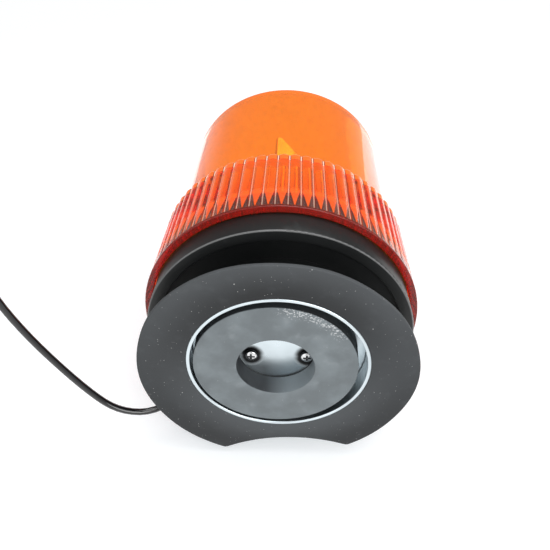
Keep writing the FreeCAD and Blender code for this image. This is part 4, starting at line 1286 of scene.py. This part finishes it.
@dataclass
class Lens:
    """The amber lens: a reeded band below a smooth drum, with three lugs inside its skirt."""

    band_level: float = 0.0736
    band_radius_high: float = 0.0586
    drum_radius_low: float = 0.0535
    drum_radius_high: float = 0.0512
    wall: float = 0.0023
    skirt_inner: float = 0.05795
    shelf_level: float = 0.0427
    reeds: int = 72
    reed_depth: float = 0.0008
    steps_per_reed: int = 10
    longest_run: float = 0.012
    rim_ring: float = 0.0012
    reed_start: float = 1.3
    top_rounding: float = 0.001
    shoulder: float = 0.0006
    edge: float = 0.00045
    lug_count: int = 3
    lug_low: float = 0.034
    lug_high: float = 0.0368
    lug_depth: float = 0.0015
    lug_half_angle: float = math.radians(6)
    lug_gap: float = 20 * MERGE_GAP

    def corners(self) -> list[Corner]:
        """The outline, from the axis at the top, down the outside and up the inside.

        Returns:
            The outline's corners.
        """
        low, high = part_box("lens")
        seat = self.band_level - self.wall
        band_inner = self.band_radius_high - self.reed_depth - self.wall
        return [
            Corner(0.0, high.z),
            Corner(self.drum_radius_high, high.z, self.top_rounding),
            Corner(self.drum_radius_low, self.band_level, 2 * self.edge),
            Corner(self.band_radius_high, self.band_level, self.edge, 1.0),
            Corner(high.x, low.z + self.reed_start * self.rim_ring, 0.0, 1.0),
            Corner(high.x, low.z + self.rim_ring),
            Corner(high.x, low.z, self.edge),
            Corner(self.skirt_inner, low.z, self.edge),
            Corner(self.skirt_inner, self.shelf_level),
            Corner(band_inner, self.shelf_level),
            Corner(band_inner, seat - self.shoulder),
            Corner(self.drum_radius_low - self.wall, seat),
            Corner(self.drum_radius_high - self.wall, high.z - self.wall),
            Corner(0.0, high.z - self.wall),
        ]

    def add_lugs(self, form: bmesh.types.BMesh) -> None:
        """Add the bayonet lugs to the skirt.

        Args:
            form: The lens.
        """
        inner, outer = self.skirt_inner - self.lug_depth, self.skirt_inner - self.lug_gap
        section = [
            (inner, self.lug_low),
            (outer, self.lug_low),
            (outer, self.lug_high),
            (inner, self.lug_high),
        ]
        for lug in range(self.lug_count):
            middle = math.tau * lug / self.lug_count
            sides = []
            for angle in (middle - self.lug_half_angle, middle, middle + self.lug_half_angle):
                way = (math.cos(angle), math.sin(angle))
                sides.append([form.verts.new((reach * way[0], reach * way[1], z)) for reach, z in section])
            for first, second in zip(sides, sides[1:]):
                for index in range(len(first)):
                    following = (index + 1) % len(first)
                    form.faces.new((first[index], first[following], second[following], second[index]))
            form.faces.new(sides[0])
            form.faces.new(sides[-1])

    def build(self) -> None:
        """Turn the lens, add its lugs, and finish the gasket under it."""
        piece = turned(
            "finished_lens",
            self.corners(),
            AMBER,
            steps=self.reeds * self.steps_per_reed,
            closed=False,
            longest=self.longest_run,
            reeds=(self.reeds, self.reed_depth),
        )
        tidy_mesh(piece.data, self.add_lugs)
        record.settle(piece, "lens")
        finished_node("lens_gasket", SEAL_RUBBER, EdgeKind.MOULDED)


@dataclass
class RubberBoot:
    """The rubber collar with its wide, slightly uneven flange and the notch in it."""

    inner_radius: float = 0.03905
    neck_radius: float = 0.042
    clamp_radius: float = 0.026
    clamp_level: float = 0.0118
    root_radius: float = 0.046
    root_level: float = 0.0018
    root_height: float = 0.003
    root_rounding: float = 0.0015
    flange_radius: float = 0.06
    flange_edge: float = 0.0018
    flange_centre: Spot = (-0.0005, 0.0037)
    edge: float = 0.0006
    inner_edge: float = 0.0004
    notch_radius: float = 0.0636
    notch_reach: float = 0.0494
    notch_angle: float = math.radians(85.7)
    wave: float = 0.00035
    waves: tuple[Point, ...] = ((3, 0.6, 2.1), (5, 0.5, 0.4), (9, 0.3, 0.0))
    softness: float = 0.0005
    sharpest: float = 40.0
    lift: float = 0.0003
    lift_wave: Spot = (4, 1.3)
    steps: int = 432
    longest_run: float = 0.0015

    @staticmethod
    def crossings(centre: Vector, radius: float, direction: Vector) -> tuple[float, float] | None:
        """Where a ray from the axis crosses a circle.

        Args:
            centre: The circle's centre.
            radius: The circle's radius.
            direction: The ray's direction.

        Returns:
            The nearer and the farther distance, or nothing where the ray misses.
        """
        along = centre.dot(direction)
        inside = radius * radius - centre.length_squared + along * along
        return None if inside < 0 else (along - math.sqrt(inside), along + math.sqrt(inside))

    def rim(self, angle: float) -> float:
        """The flange's radius at an angle.

        Args:
            angle: From +X towards +Y.

        Returns:
            The radius, with the flange's waves and the notch.
        """
        direction = Vector((math.cos(angle), math.sin(angle)))
        waves = sum(share * math.sin(count * angle + phase) for count, share, phase in self.waves)
        circle = self.crossings(Vector(self.flange_centre), self.flange_radius, direction)
        free = circle[1] + self.wave * waves
        out = self.notch_reach + self.notch_radius
        middle = Vector((out * math.cos(self.notch_angle), out * math.sin(self.notch_angle)))
        bite = self.crossings(middle, self.notch_radius, direction)
        if bite is None or bite[0] < 0:
            return free
        excess = (free - bite[0]) / self.softness
        return bite[0] if excess > self.sharpest else free - self.softness * math.log1p(math.exp(excess))

    def shape(self, form: bmesh.types.BMesh) -> None:
        """Give the flange its outline and its slight lift.

        Args:
            form: The boot.
        """
        count, phase = self.lift_wave
        for vertex in form.verts:
            radius = math.hypot(vertex.co.x, vertex.co.y)
            if radius <= self.neck_radius:
                continue
            angle = math.atan2(vertex.co.y, vertex.co.x)
            share = (radius - self.neck_radius) / (self.flange_radius - self.neck_radius)
            grown = (self.neck_radius + (self.rim(angle) - self.neck_radius) * share) / radius
            wave = 0.5 + 0.5 * math.sin(count * angle + phase)
            raised = vertex.co.z + self.lift * wave * share**3
            vertex.co = (vertex.co.x * grown, vertex.co.y * grown, raised)

    def build(self) -> None:
        """Turn the boot and shape its flange."""
        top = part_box("rubber_boot")[1].z
        piece = turned(
            "finished_rubber_boot",
            [
                Corner(self.inner_radius, 0.0, self.inner_edge),
                Corner(self.flange_radius, 0.0, self.edge),
                Corner(self.flange_radius, self.flange_edge, self.edge),
                Corner(self.root_radius, self.root_level, self.root_rounding),
                Corner(self.neck_radius, self.root_level + self.root_height, self.root_rounding),
                Corner(self.neck_radius, top, self.edge),
                Corner(self.clamp_radius, top),
                Corner(self.clamp_radius, self.clamp_level),
                Corner(self.inner_radius, self.clamp_level),
            ],
            BOOT_RUBBER,
            steps=self.steps,
            longest=self.longest_run,
        )
        tidy_mesh(piece.data, self.shape)
        record.settle(piece, "rubber_boot")


@dataclass
class MagnetUnit:
    """The steel pot, the chipped ring magnet in it, and the screws and nuts that hold the pot."""

    bore_radius: float = 0.0166
    edge: float = 0.0005
    chip_side: float = math.radians(-60)
    chip_spread: float = math.radians(28)
    chip_depth: float = 0.0006
    chip_reach: float = 0.002
    bore_chip_reach: float = 0.001
    bore_chip_share: float = 0.35
    chip_grain: float = 420.0
    chip_octaves: int = 3
    least_grain: float = 0.35
    least_side: float = 0.25
    inward_share: float = 0.7
    screw_head: float = 0.003
    dark_spot_run: float = 0.0026
    steps: int = 480
    longest_run: float = 0.0018

    def __post_init__(self) -> None:
        """Read the magnet's place and size from the frame."""
        low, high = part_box("ring_magnet")
        self.centre = ((low.x + high.x) / 2, (low.y + high.y) / 2, 0.0)
        self.radius = (high.x - low.x) / 2
        self.low, self.high = low.z, high.z

    def screw_places(self) -> list[Spot]:
        """Where the two pot screws stand.

        Returns:
            The places as x and y.
        """
        low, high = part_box("pot_screws")
        row = (low.y + high.y) / 2
        return [(low.x + self.screw_head, row), (high.x - self.screw_head, row)]

    def chip(self, form: bmesh.types.BMesh) -> None:
        """Break the magnet's lower edges: deep along one side, slightly all round.

        Args:
            form: The magnet.
        """
        for vertex in form.verts:
            flat = Vector((vertex.co.x - self.centre[0], vertex.co.y - self.centre[1]))
            outer = 1.0 - min(1.0, abs(flat.length - self.radius) / self.chip_reach)
            inner = 1.0 - min(1.0, abs(flat.length - self.bore_radius) / self.bore_chip_reach)
            depth = 1.0 - min(1.0, (vertex.co.z - self.low) / self.chip_reach)
            if depth <= 0.0 or max(outer, inner) <= 0.0:
                continue
            turn = math.atan2(flat.y, flat.x) - self.chip_side
            side = math.exp(-((turn / self.chip_spread) ** 2))
            rough = noise.turbulence(vertex.co * self.chip_grain, self.chip_octaves, False)
            near = max(outer, self.bore_chip_share * inner)
            bite = max(0.0, rough - self.least_grain) * (self.least_side + side) * near * depth
            vertex.co.z += self.chip_depth * bite
            if outer > 0.0:
                inward = flat.normalized() * self.chip_depth * self.inward_share * bite
                vertex.co.x -= inward.x
                vertex.co.y -= inward.y

    def build(self) -> None:
        """Finish the pot, the magnet, the screws and the nuts."""
        places = self.screw_places()
        # Dark spots on the pot round each screw and a little further towards +Y.
        dark_spot_places = [(x, y + run, 0.0) for x, y in places for run in (0.0, self.dark_spot_run)]
        spotted_zinc = PlatedSteel("spotted_pot_zinc", (0.85, 0.95, 1.0), 0.29, dark_spots_at=tuple(dark_spot_places))
        finished_node("magnet_pot", spotted_zinc, EdgeKind.MOULDED)
        piece = turned(
            "finished_ring_magnet",
            [
                Corner(self.bore_radius, self.low, self.edge),
                Corner(self.radius, self.low, self.edge),
                Corner(self.radius, self.high),
                Corner(self.bore_radius, self.high),
            ],
            SinteredFerrite("chipped_ferrite", self.centre, self.radius, self.chip_side, self.high),
            steps=self.steps,
            longest=self.longest_run,
            centre=self.centre,
        )
        tidy_mesh(piece.data, self.chip)
        record.settle(piece, "ring_magnet")
        screws = PanScrew(
            "pot_screws",
            head_radius=self.screw_head,
            head_height=0.0022,
            shank_radius=0.00175,
            dome=0.0014,
            faces_down=True,
        )
        screws.build(places, SCREW_BLACK)
        finished_node("pot_nuts", ZINC, EdgeKind.STAMPED)


@dataclass
class Base:
    """The black base and the grommet that the cord comes out of."""

    def build(self) -> None:
        """Finish both pieces."""
        finished_node("base_housing", BLACK_PLASTIC, EdgeKind.ROUNDED)
        finished_node("cord_grommet", SEAL_RUBBER, EdgeKind.STAMPED)


@dataclass
class Drive:
    """The chassis plate, the motor, the gears and the reflector that they turn."""

    chassis_circle: float = 0.046
    chassis_start: float = math.radians(60)
    motor_reach: float = 0.008
    motor_start: float = math.radians(170)
    reflector_circle: float = 0.014
    reflector_start: float = math.radians(285)

    def build(self) -> None:
        """Finish every piece of the drive."""
        steel = ("chassis_plate", "idler_axle", "idler_clip", "rotor_ring", "motor_shaft", "motor_can")
        for node in steel:
            finished_node(node, ZINC, EdgeKind.STAMPED)
        for node in ("rotor_gear", "idler_gear"):
            finished_node(node, GEAR_PLASTIC)
        finished_node("motor_cover", PLUG_PLASTIC, EdgeKind.STAMPED)
        finished_node("motor_pinion", BRASS)
        finished_node("reflector", MIRROR, EdgeKind.STAMPED)
        low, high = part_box("motor_can")
        motor = ((low.x + high.x) / 2, (low.y + high.y) / 2)
        chassis = ring_places(3, self.chassis_circle, self.chassis_start)
        plate = PanScrew(
            "chassis_screws", head_radius=0.0028, head_height=0.002, shank_radius=0.0015, dome=0.0012
        )
        plate.build(chassis, ZINC)
        motors = ring_places(2, self.motor_reach, self.motor_start, motor)
        feet = ring_places(2, self.reflector_circle, self.reflector_start)
        for node, places in (("motor_screws", motors), ("reflector_screws", feet)):
            small = PanScrew(
                node,
                head_radius=0.0019,
                head_height=0.0012,
                shank_radius=0.001,
                dome=0.0007,
                recess_width=0.0006,
                recess_depth=0.0005,
            )
            small.build(places, ZINC)


def winding_tree() -> bpy.types.NodeTree:
    """A tree that winds a wire into a coil along X and joins it to the legs that it starts from.

    Returns:
        The tree.
    """
    graph, given = new_tree(
        "wound_wire",
        {
            "Legs": "NodeSocketGeometry",
            "Turns": "NodeSocketFloat",
            "Coil Radius": "NodeSocketFloat",
            "Wire Radius": "NodeSocketFloat",
            "Length": "NodeSocketFloat",
            "Start": "NodeSocketVector",
            "Material": "NodeSocketMaterial",
        },
    )
    line = graph.add(
        "GeometryNodeCurveSpiral",
        None,
        {
            "Resolution": TURN_POINTS,
            "Rotations": given.other("Turns"),
            "Start Radius": given.other("Coil Radius"),
            "End Radius": given.other("Coil Radius"),
            "Height": given.other("Length"),
        },
    )
    laid = graph.add(
        "GeometryNodeTransform",
        None,
        {"Geometry": line, "Translation": given.other("Start"), "Rotation": (0.0, math.pi / 2, 0.0)},
    )
    legs = graph.add("GeometryNodeMeshToCurve", None, {"Mesh": given.other("Legs")})
    lines = graph.add("GeometryNodeJoinGeometry", None, {"Geometry": laid})
    graph.tree.links.new(legs.socket, lines.socket.node.inputs["Geometry"])
    section = graph.add(
        "GeometryNodeCurvePrimitiveCircle",
        None,
        {"Resolution": WIRE_SIDES, "Radius": given.other("Wire Radius")},
    )
    wire = graph.add(
        "GeometryNodeCurveToMesh", None, {"Curve": lines, "Profile Curve": section, "Fill Caps": True}
    )
    return close_tree(graph, wire, given.other("Material"))


@dataclass
class Lamp:
    """The post, the bayonet holder and the bulb with its wound filament."""

    filament_half: float = 0.0025
    coil_radius: float = 0.0004
    wire_radius: float = 0.00012
    turns: float = 11.0

    def filament(self) -> None:
        """Wind the filament between its two legs."""
        low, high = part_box("bulb_filament")
        top = high.z - self.coil_radius
        side = self.filament_half
        mesh = bpy.data.meshes.new("filament_legs")
        ends = [(x, 0.0, z) for x in (-side, side) for z in (low.z, top)]
        mesh.from_pydata(ends, [(0, 1), (2, 3)], [])
        piece = run_tree(
            "finished_bulb_filament",
            mesh,
            winding_tree(),
            {
                "Turns": self.turns,
                "Coil Radius": self.coil_radius,
                "Wire Radius": self.wire_radius,
                "Length": 2 * side,
                "Start": (-side, 0.0, top),
                "Material": TUNGSTEN.material(),
            },
        )
        tidy_mesh(piece.data)
        record.settle(piece, "bulb_filament")

    def build(self) -> None:
        """Finish every piece of the lamp."""
        finished_node("lamp_post", GEAR_PLASTIC, EdgeKind.STAMPED)
        finished_node("post_nut", GEAR_PLASTIC, EdgeKind.STAMPED)
        for node in ("bulb_holder", "holder_contact", "bulb_cap"):
            finished_node(node, BRASS, EdgeKind.STAMPED)
        finished_node("bulb_glass", LAMP_GLASS)
        self.filament()


@dataclass
class SupplyCord:
    """The cord from its grommet to the coil of the rest of it, and the lighter plug at its end."""

    diameter: float = 0.0032
    length: float = 1.92
    route: tuple[Point, ...] = (
        (-0.03664, 0.02863, 0.0300),
        (-0.03664, 0.02863, 0.0165),
        (-0.0560, 0.0413, 0.0066),
        (-0.0726, 0.0364, 0.0022),
        (-0.0850, 0.0215, 0.0017),
        (-0.1030, -0.0100, 0.0017),
        (-0.1140, -0.0380, 0.0018),
        (-0.1170, -0.0660, 0.0026),
    )
    coil_centre: Spot = (-0.1398, -0.0740)
    coil_radius: float = 0.0228
    coil_low: float = 0.0026
    columns: int = 4
    layers: int = 4
    turns: float = 15.5
    points_per_turn: int = 16
    plug_tail: Point = (-0.1626, -0.0440, 0.0105)
    plug_depth: float = 0.004
    tail_shares: tuple[float, ...] = (0.35, 0.7, 1.0)

    def winding(self) -> list[Point]:
        """The turns of the coil, layer on layer, inward and outward by turns.

        Returns:
            Points along the turns.
        """
        points = []
        across = self.columns - 1
        for step in range(1, int(self.turns * self.points_per_turn) + 1):
            done = step / self.points_per_turn
            layer, turn = divmod(done, self.columns)
            moved = min(turn, across)
            rising = max(0.0, turn - across)
            column = moved if layer % 2 == 0 else across - moved
            risen = math.sqrt(1.0 - (1.0 - rising) ** 2) if layer < self.layers - 1 else 0.0
            radius = self.coil_radius - column * self.diameter
            angle = -math.tau * done
            points.append(
                (
                    self.coil_centre[0] + radius * math.cos(angle),
                    self.coil_centre[1] + radius * math.sin(angle),
                    self.coil_low + (layer + risen) * self.diameter,
                )
            )
        return points

    def tail(self, start: Point) -> list[Point]:
        """The end of the cord, from the coil into the plug.

        Args:
            start: Where the coil ends.

        Returns:
            Points down to the plug's level and into its strain relief.
        """
        first, last = Vector(start), Vector(self.plug_tail)
        down = [first.lerp(last, share) for share in self.tail_shares]
        inside = last + Vector((0.0, self.plug_depth, 0.0))
        return [tuple(point) for point in (*down, inside)]

    def line(self) -> bpy.types.Object:
        """The cord as one smooth spline.

        Returns:
            The cord.
        """
        winding = self.winding()
        points = [*self.route, *winding, *self.tail(winding[-1])]
        curve = bpy.data.curves.new("cord_line", "CURVE")
        curve.dimensions = "3D"
        spline = curve.splines.new("NURBS")
        spline.points.add(len(points) - 1)
        for target, point in zip(spline.points, points):
            target.co = (*point, 1.0)
        spline.order_u = 3
        spline.use_endpoint_u = True
        spline.resolution_u = 5
        curve.bevel_depth = self.diameter / 2
        curve.bevel_resolution = 4
        curve.use_fill_caps = True
        curve.materials.append(CORD_SHEATH.material())
        return new_object("finished_supply_cord", curve)

    def build(self) -> None:
        """Finish the plug and the tie, and lay the cord."""
        fittings = [finished_node("coil_tie", PLUG_PLASTIC, EdgeKind.MOULDED)]
        for node in ("plug_relief", "plug_body", "plug_collar"):
            fittings.append(finished_node(node, PLUG_PLASTIC, EdgeKind.MOULDED))
        for node in ("plug_contacts", "plug_pin"):
            fittings.append(finished_node(node, ZINC, EdgeKind.STAMPED))
        cord = record.settle(self.line(), "supply_cord", "cord_coil", "cord_tail")


@dataclass
class Studio:
    """Floor, light and camera."""

    focal_pixels: float = 720.0
    frame_pixels: float = 550.0
    eye: Point = (0.0062, -0.2291, -0.2018)
    right: Point = (0.9993, 0.0, 0.0375)
    upward: Point = (-0.0248, -0.7510, 0.6598)
    middle: Point = (0.0, 0.0, 0.06)
    sensor: float = 36.0
    nearest: float = 0.01
    sky: float = 0.5
    room: float = 0.25
    mirrored_edges: Span = (-0.2, 0.6)
    lensed_edges: Span = (-0.6, -0.1)
    floor_level: float = -0.0003
    table_reach: float = 0.0625
    stage_half: float = 0.9
    fade: Span = (0.3, 0.75)
    shadow_colour: Colour = (0.9, 0.96, 1.0)
    floor_paint: Span = (0.2, 0.8)
    table_paint: Span = (0.47, 0.68)
    card: tuple[Spot, ...] = (
        (-0.138, 0.0),
        (0.62, 0.0),
        (0.62, 0.83),
        (0.22, 0.53),
        (-0.138, 0.45),
    )
    card_glow: float = 1.76
    lamps: dict[str, Softbox] = field(
        default_factory=lambda: {
            "key": Softbox((0.50, -0.30, -0.80), 0.42, 0.5),
            "fill": Softbox((-0.50, -0.20, -0.85), 0.25, 0.7),
            "back": Softbox((-0.03, 0.66, 0.75), 0.3, 1.2, LampView.LENSED),
            "front": Softbox((0.10, -0.80, -0.60), 0.15, 0.35),
            "above": Softbox((0.15, -1.0, 0.05), 0.6, 0.7),
            "glint": Softbox((0.55, 0.03, 0.83), 0.05, 0.2, LampView.LENSED),
        }
    )
    lamp_distance: float = 0.8

    def world(self) -> None:
        """A white table that the light lies on and a dim room over it, as reflections see them."""
        sky = bpy.data.worlds.new("studio")
        bpy.context.scene.world = sky
        sky.use_nodes = True
        graph = Graph(sky.node_tree)
        graph.tree.nodes.clear()
        direction = graph.add("ShaderNodeTexCoord", output="Generated")
        down = graph.add("ShaderNodeSeparateXYZ", None, {0: direction}, "Y")
        mirrored = graph.smooth_step(down, self.mirrored_edges, self.room)
        lensed = graph.smooth_step(down, self.lensed_edges, self.room)
        ray = graph.add("ShaderNodeLightPath", output="Is Camera Ray")
        through = ray.other("Is Transmission Ray")
        strength = (
            ray
            + ray.other("Is Glossy Ray") * (1.0 - through) * mirrored
            + through * lensed
            + ray.other("Is Diffuse Ray") * self.sky
        )
        glow = graph.add("ShaderNodeBackground", None, {"Color": (*WHITE, 1.0), "Strength": strength})
        graph.add("ShaderNodeOutputWorld", None, {"Surface": glow})

    @staticmethod
    def hide(sheet: bpy.types.Object, *rays: str) -> None:
        """Hide a sheet from some kinds of ray."""
        for ray in rays:
            setattr(sheet, f"visible_{ray}", False)

    def stage(self, name: str, corners: Sequence[Point], paint: Span) -> None:
        """A pale sheet that fades out, is see-through from behind and only catches shadows.

        Args:
            name: The sheet's name.
            corners: Its corners, anticlockwise as seen from the front.
            paint: How bright it is in full shadow, and the share of the light on it that it gives back.
        """
        glow, grey = paint
        mesh = bpy.data.meshes.new(name)
        mesh.from_pydata(corners, [], [(0, 1, 2, 3)])
        surface = Surface(f"pale_{name}")
        behind = surface.add("ShaderNodeNewGeometry", output="Backfacing")
        faded = surface.step(surface.vector("LENGTH", surface.place, output="Value"), *self.fade)
        clear = surface.add("ShaderNodeBsdfTransparent")
        white = surface.add("ShaderNodeBsdfDiffuse", None, {"Color": (grey, grey, grey, 1.0)})
        light = {"Color": (*self.shadow_colour, 1.0), "Strength": glow}
        shine = surface.add("ShaderNodeEmission", None, light)
        front = surface.add("ShaderNodeAddShader", None, {0: white, 1: shine})
        unseen = behind.maths("MAXIMUM", faded)
        mixed = surface.add("ShaderNodeMixShader", None, {0: unseen, 1: front, 2: clear})
        surface.add("ShaderNodeOutputMaterial", None, {"Surface": mixed})
        mesh.materials.append(surface.material)
        sheet = new_object(name, mesh)
        self.hide(sheet, "diffuse", "glossy", "transmission", "shadow")

    def sheets(self) -> None:
        """The floor that the light stands on, and the table that it lies against in the photograph."""
        half, floor, table = self.stage_half, self.floor_level, self.table_reach
        square = [(-half, -half), (half, -half), (half, half), (-half, half)]
        self.stage("floor", [(x, y, floor) for x, y in square], self.floor_paint)
        self.stage("table", [(x, table, z) for x, z in square], self.table_paint)

    def bright_table(self) -> None:
        """The well lit part of the table, as the glossy pieces mirror it."""
        mesh = bpy.data.meshes.new("card")
        mesh.from_pydata([(x, self.table_reach, z) for x, z in self.card], [], [range(len(self.card))])
        surface = Surface("bright_card")
        shine = surface.add("ShaderNodeEmission", None, {"Strength": self.card_glow})
        surface.add("ShaderNodeOutputMaterial", None, {"Surface": shine})
        mesh.materials.append(surface.material)
        card = new_object("card", mesh)
        self.hide(card, "camera", "diffuse", "transmission", "shadow")

    def lights(self) -> None:
        """Place the lamps round the middle of the light."""
        for name, box in self.lamps.items():
            light = bpy.data.lights.new(name, "AREA")
            light.size = box.size
            light.energy = box.level * math.pi**2 * self.lamp_distance**2
            lamp = new_object(f"{name}_lamp", light)
            away = Vector(box.direction).normalized()
            lamp.location = Vector(self.middle) + away * self.lamp_distance
            lamp.rotation_euler = away.to_track_quat("Z", "Y").to_euler()
            lamp.visible_glossy = box.view is not LampView.LENSED

    def camera(self) -> None:
        """The camera at the photograph's place."""
        data = bpy.data.cameras.new("camera")
        data.sensor_width = self.sensor
        data.lens = self.focal_pixels / self.frame_pixels * data.sensor_width
        data.clip_start = self.nearest
        camera = new_object("camera", data)
        right, upward = Vector(self.right), Vector(self.upward)
        turned_to = Matrix((right, upward, right.cross(upward))).transposed()
        camera.matrix_world = Matrix.Translation(self.eye) @ turned_to.to_4x4()
        bpy.context.scene.camera = camera

    def build(self) -> None:
        """Set up the whole studio."""
        bpy.context.scene.view_settings.view_transform = "Standard"
        self.world()
        self.sheets()
        self.bright_table()
        self.lights()
        self.camera()


def main() -> None:
    """Build the light and its studio."""
    logging.basicConfig(level=logging.INFO, format="%(message)s")
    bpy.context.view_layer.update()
    for part in (SupplyCord(), Lens(), RubberBoot(), MagnetUnit(), Base(), Drive(), Lamp(), Studio()):
        log.info("building %s", type(part).__name__)
        part.build()


if __name__ == "__main__":
    main()
